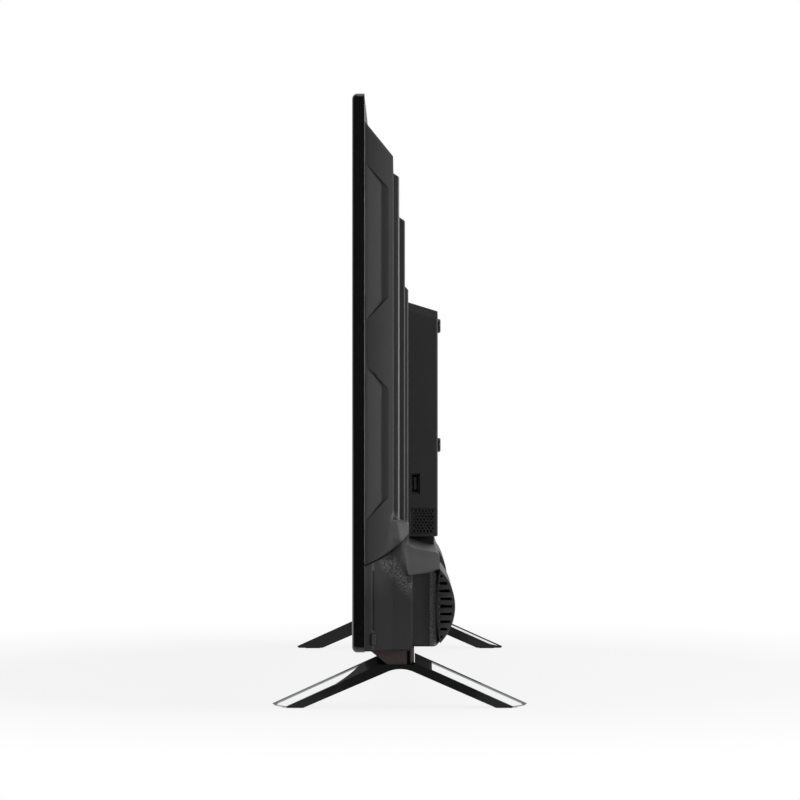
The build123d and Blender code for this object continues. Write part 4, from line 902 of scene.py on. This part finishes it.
def slot_reach(pattern):
    """How far a slot runs at its own height: to the back arc, less the rim."""
    along = pattern.node("GeometryNodeInputPosition").outputs["Position"]
    height = pattern.node("ShaderNodeSeparateXYZ", {"Vector": along}).outputs["Y"]
    half_square = pattern.maths("POWER", pattern.size("Half height"), 2.0)
    sagitta = pattern.size("Sagitta")
    squares = pattern.maths("ADD", half_square, pattern.maths("POWER", sagitta, 2.0))
    radius = pattern.maths("DIVIDE", squares, pattern.maths("MULTIPLY", sagitta, 2.0))
    rest = pattern.maths("SUBTRACT", pattern.maths("POWER", radius, 2.0), pattern.maths("POWER", height, 2.0))
    chord = pattern.maths("SQRT", rest)
    centre = pattern.maths("SUBTRACT", sagitta, radius)
    return pattern.maths("SUBTRACT", pattern.maths("ADD", centre, chord), pattern.size("Rim"))


def grille_pattern(material):
    """A speaker grille: a plate between two arcs, with a slot for every step of the pitch."""
    pattern = Pattern("grille_plate", {
        "Half height": (grille_high - grille_low) / 2, "Sagitta": grille_sagitta,
        "Front sagitta": grille_front_sagitta, "Thickness": grille_thickness, "Rim": grille_rim,
        "Slot count": slot_count, "Slot pitch": slot_pitch, "Slot height": slot_height,
    })
    places = pattern.row(pattern.size("Slot count"), pattern.size("Slot pitch"), "y")
    deep = pattern.maths("MULTIPLY", pattern.size("Thickness"), 4.0)
    block = pattern.vector(1.0, pattern.size("Slot height"), deep)
    cutter = pattern.node("GeometryNodeMeshCube", {"Size": block}).outputs["Mesh"]
    cutter = pattern.shift(cutter, pattern.vector(x=0.5))
    slots = pattern.repeat(places, cutter, Scale=pattern.vector(slot_reach(pattern), 1.0, 1.0))
    slots = pattern.node("GeometryNodeRealizeInstances", {"Geometry": slots}).outputs["Geometry"]
    cut = pattern.without(lens_plate(pattern), slots)
    pattern.close(pattern.shift(cut, turn=(math.pi / 2, 0.0, math.pi / 2)), material)
    return pattern


def make_grilles():
    """The slotted end grilles of both speaker bulges."""
    material = finishes["grille"]
    place = (grille_face, grille_chord, (grille_low + grille_high) / 2)
    right = soften(grown_mesh("grille_plate", [place], grille_pattern(material)), grille_edge)
    left = mirrored_mesh(right)
    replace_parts(plain_piece("grille_plate_right", right, material), "speaker_grille_right")
    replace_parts(plain_piece("grille_plate_left", left, material), "speaker_grille_left")


def make_threads():
    """Thread turns inside the wall-mount standoffs."""
    material = finishes["standoff"]
    pattern = Pattern("mount_thread", thread_sizes)
    turns = pattern.maths("DIVIDE", pattern.size("Depth"), pattern.size("Pitch"))
    coil = pattern.node("GeometryNodeCurveSpiral", {
        "Resolution": 20, "Rotations": turns, "Start Radius": pattern.size("Bore radius"),
        "End Radius": pattern.size("Bore radius"), "Height": pattern.size("Depth"),
    }).outputs["Curve"]
    wire = pattern.node("GeometryNodeCurvePrimitiveCircle", {"Resolution": 4, "Radius": pattern.size("Wire")})
    tube = pattern.node("GeometryNodeCurveToMesh", {
        "Curve": coil, "Profile Curve": wire.outputs["Curve"], "Fill Caps": True,
    }).outputs["Mesh"]
    pattern.close(tube, material, (math.pi / 2, 0.0, 0.0))
    places = [(x, y - thread_start, z) for x, y, z in standoff_places]
    plain_piece("mount_threads", grown_mesh("mount_threads", places, pattern), material)


def make_contacts():
    """Plated contacts along both faces of the tongues in the flat sockets."""
    material = finishes["pins"]
    pattern = Pattern("socket_contact", contact_sizes)
    row = pattern.row(pattern.size("Contact count"), pattern.size("Pitch"), "x")
    thick = pattern.maths("ADD", pattern.maths("MULTIPLY", pattern.size("Proud"), 2.0), tongue_thickness)
    bar = pattern.node("GeometryNodeMeshCube", {
        "Size": pattern.vector(pattern.size("Width"), thick, pattern.size("Length")),
    }).outputs["Mesh"]
    rise = pattern.maths("ADD", pattern.maths("MULTIPLY", pattern.size("Length"), 0.5), contact_start)
    pattern.close(pattern.repeat(row, pattern.shift(bar, pattern.vector(z=rise))), material)
    mesh = grown_mesh("socket_contacts", flat_socket_places, pattern)
    plain_piece("socket_contacts", mesh, material)


# Pieces made corner by corner

def wrap(form, rings):
    """Put faces between each ring of corners and the next."""
    for first, second in zip(rings, rings[1:]):
        for index in range(len(first)):
            after = (index + 1) % len(first)
            form.faces.new((first[index], first[after], second[after], second[index]))


def outward_mesh(name, form):
    """A form as a mesh, with its faces turned outwards."""
    bmesh.ops.recalc_face_normals(form, faces=form.faces)
    mesh = bpy.data.meshes.new(name)
    form.to_mesh(mesh)
    form.free()
    return mesh


def make_edge_strips():
    """Plated strips along the upper inner edge of the feet's back legs."""
    strips = bmesh.new()
    outer = foot_inner_face
    inner = foot_inner_face - strip_proud
    for side in (-1, 1):
        rings = []
        for step in range(strip_steps + 1):
            share = step / strip_steps
            y = strip_start[0] + (strip_end[0] - strip_start[0]) * share
            z = strip_start[1] + (strip_end[1] - strip_start[1]) * share
            fullness = min(1.0, (1.0 - share) * strip_taper + strip_tip_share)
            low = z - (strip_drop + (strip_depth - strip_drop) * fullness)
            top = z - strip_drop
            corners = ((outer, top), (inner, top - strip_proud), (inner, low), (outer, low))
            rings.append([strips.verts.new((side * x, y, height)) for x, height in corners])
        wrap(strips, rings)
        strips.faces.new(rings[0])
        strips.faces.new(rings[-1])
    plain_piece("foot_edge_strips", outward_mesh("foot_edge_strips", strips), finishes["trim"])


def make_socket_surround():
    """A foam frame that fills the gap between the side socket and its opening."""
    front, back, low, high = side_opening
    gap_y, gap_z = socket_gap
    opening = ((front, low), (back, low), (back, high), (front, high))
    socket = (
        (front + gap_y, low + gap_z), (back - gap_y, low + gap_z),
        (back - gap_y, high - gap_z), (front + gap_y, high - gap_z),
    )
    face = side_socket_face
    inside = side_socket_face - foam_depth
    surround = bmesh.new()
    rings = [
        [surround.verts.new((x, y, z)) for y, z in corners]
        for x, corners in ((face, opening), (face, socket), (inside, socket), (inside, opening))
    ]
    wrap(surround, rings + rings[:1])
    mesh = outward_mesh("side_socket_surround", surround)
    plain_piece("side_socket_surround", mesh, finishes["cover_box"])


dress_nodes()
make_screws()
make_grilles()
make_threads()
make_contacts()
make_edge_strips()
make_socket_surround()


# Studio

white = (1.0, 1.0, 1.0, 1.0)


def floor_finish():
    """Pale floor: white to the camera apart from the object's shadow, and dim in reflections on its side."""
    finish = Finish("studio_floor", (0.9, 0.9, 0.9), 0.9)
    finish.give("Specular IOR Level", 0.0)
    from_camera, mirrored = finish.rays()
    x = finish.axis("X")
    y = finish.axis("Y")
    distance = finish.maths("POWER", finish.total(finish.product(x, x), finish.product(y, y)), 0.5)
    outwards = finish.spread(distance, *floor_shares, *floor_distances)
    share = finish.product(finish.larger(from_camera, mirrored), outwards)
    dimmed = finish.spread(x, *floor_dim_levels, *floor_dim_across)
    glow = finish.node("ShaderNodeEmission", {"Color": white, "Strength": finish.larger(from_camera, dimmed)})
    shader = finish.blend(share, finish.surface.outputs["BSDF"], glow.outputs["Emission"])
    finish.join(shader, finish.tree.nodes["Material Output"].inputs["Surface"])
    return finish.material


def lay_floor():
    """A large flat floor under the set."""
    corners = [(x * floor_half, y * floor_half, 0) for x, y in ((-1, -1), (1, -1), (1, 1), (-1, 1))]
    mesh = bpy.data.meshes.new("studio_floor")
    mesh.from_pydata(corners, [], [(0, 1, 2, 3)])
    floor = bpy.data.objects.new("studio_floor", mesh)
    floor.data.materials.append(floor_finish())
    bpy.context.scene.collection.objects.link(floor)


def hang_lamp(name, place, target, size, power, mirrored=True):
    """A rectangular soft lamp that shines at a point. One that isn't mirrored leaves no glint."""
    light = bpy.data.lights.new(name, "AREA")
    light.shape = "RECTANGLE"
    light.size, light.size_y = size
    light.energy = power
    lamp = bpy.data.objects.new(name, light)
    lamp.location = place
    aim = [b - a for a, b in zip(place, target)]
    length = math.sqrt(sum(step * step for step in aim))
    pitch = math.acos(-aim[2] / length)
    turn = math.atan2(aim[1], aim[0]) - math.pi / 2
    lamp.rotation_euler = (pitch, 0.0, turn)
    lamp.visible_glossy = mirrored
    bpy.context.scene.collection.objects.link(lamp)


def light_world():
    """White to the camera and in reflections towards the far side or straight up, dim in other reflections,
    and plain soft light elsewhere."""
    world = bpy.data.worlds.new("studio")
    bpy.context.scene.world = world
    world.use_nodes = True
    nodes = Nodes(world.node_tree)
    from_camera, mirrored = nodes.rays()
    direction = nodes.node("ShaderNodeTexCoord").outputs["Generated"]
    split = nodes.node("ShaderNodeSeparateXYZ", {"Vector": direction})
    far_side = nodes.spread(split.outputs["X"], *far_side_levels, *far_side_directions, "SMOOTHSTEP")
    overhead = nodes.spread(split.outputs["Z"], 0.0, 1.0, *overhead_directions)
    seen = nodes.larger(from_camera, nodes.product(mirrored, nodes.larger(far_side, overhead)))
    plain, shown = (
        nodes.node("ShaderNodeBackground", {"Color": white, "Strength": strength}).outputs["Background"]
        for strength in (world_strength, seen)
    )
    shader = nodes.blend(nodes.larger(from_camera, mirrored), plain, shown)
    nodes.join(shader, nodes.tree.nodes["World Output"].inputs["Surface"])


def set_camera():
    """Level view of the right side of the set."""
    lens = bpy.data.cameras.new("view")
    lens.sensor_width = sensor_width
    lens.lens = lens_length
    lens.shift_x = shift_across
    lens.shift_y = shift_up
    view = bpy.data.objects.new("view", lens)
    view.location = (camera_distance, 0.0, camera_height)
    view.rotation_euler = (math.pi / 2, 0.0, math.pi / 2)
    bpy.context.scene.collection.objects.link(view)
    bpy.context.scene.camera = view


lay_floor()
hang_lamp("top_lamp", (0.2, 0.1, 2.2), (0.0, 0.0, 0.3), size=(1.6, 1.6), power=4)
hang_lamp("back_lamp", (0.7, 2.1, 0.5), (0.0, 0.0, 0.25), size=(1.2, 1.0), power=44)
hang_lamp("side_lamp", (2.0, -1.4, 0.6), (0.1, 0.0, 0.25), size=(1.0, 1.0), power=12, mirrored=False)
hang_lamp("front_lamp", (-0.6, -2.1, 1.0), (0.0, 0.0, 0.25), size=(1.4, 1.0), power=4, mirrored=False)
light_world()
set_camera()
bpy.context.scene.view_settings.view_transform = "Standard"
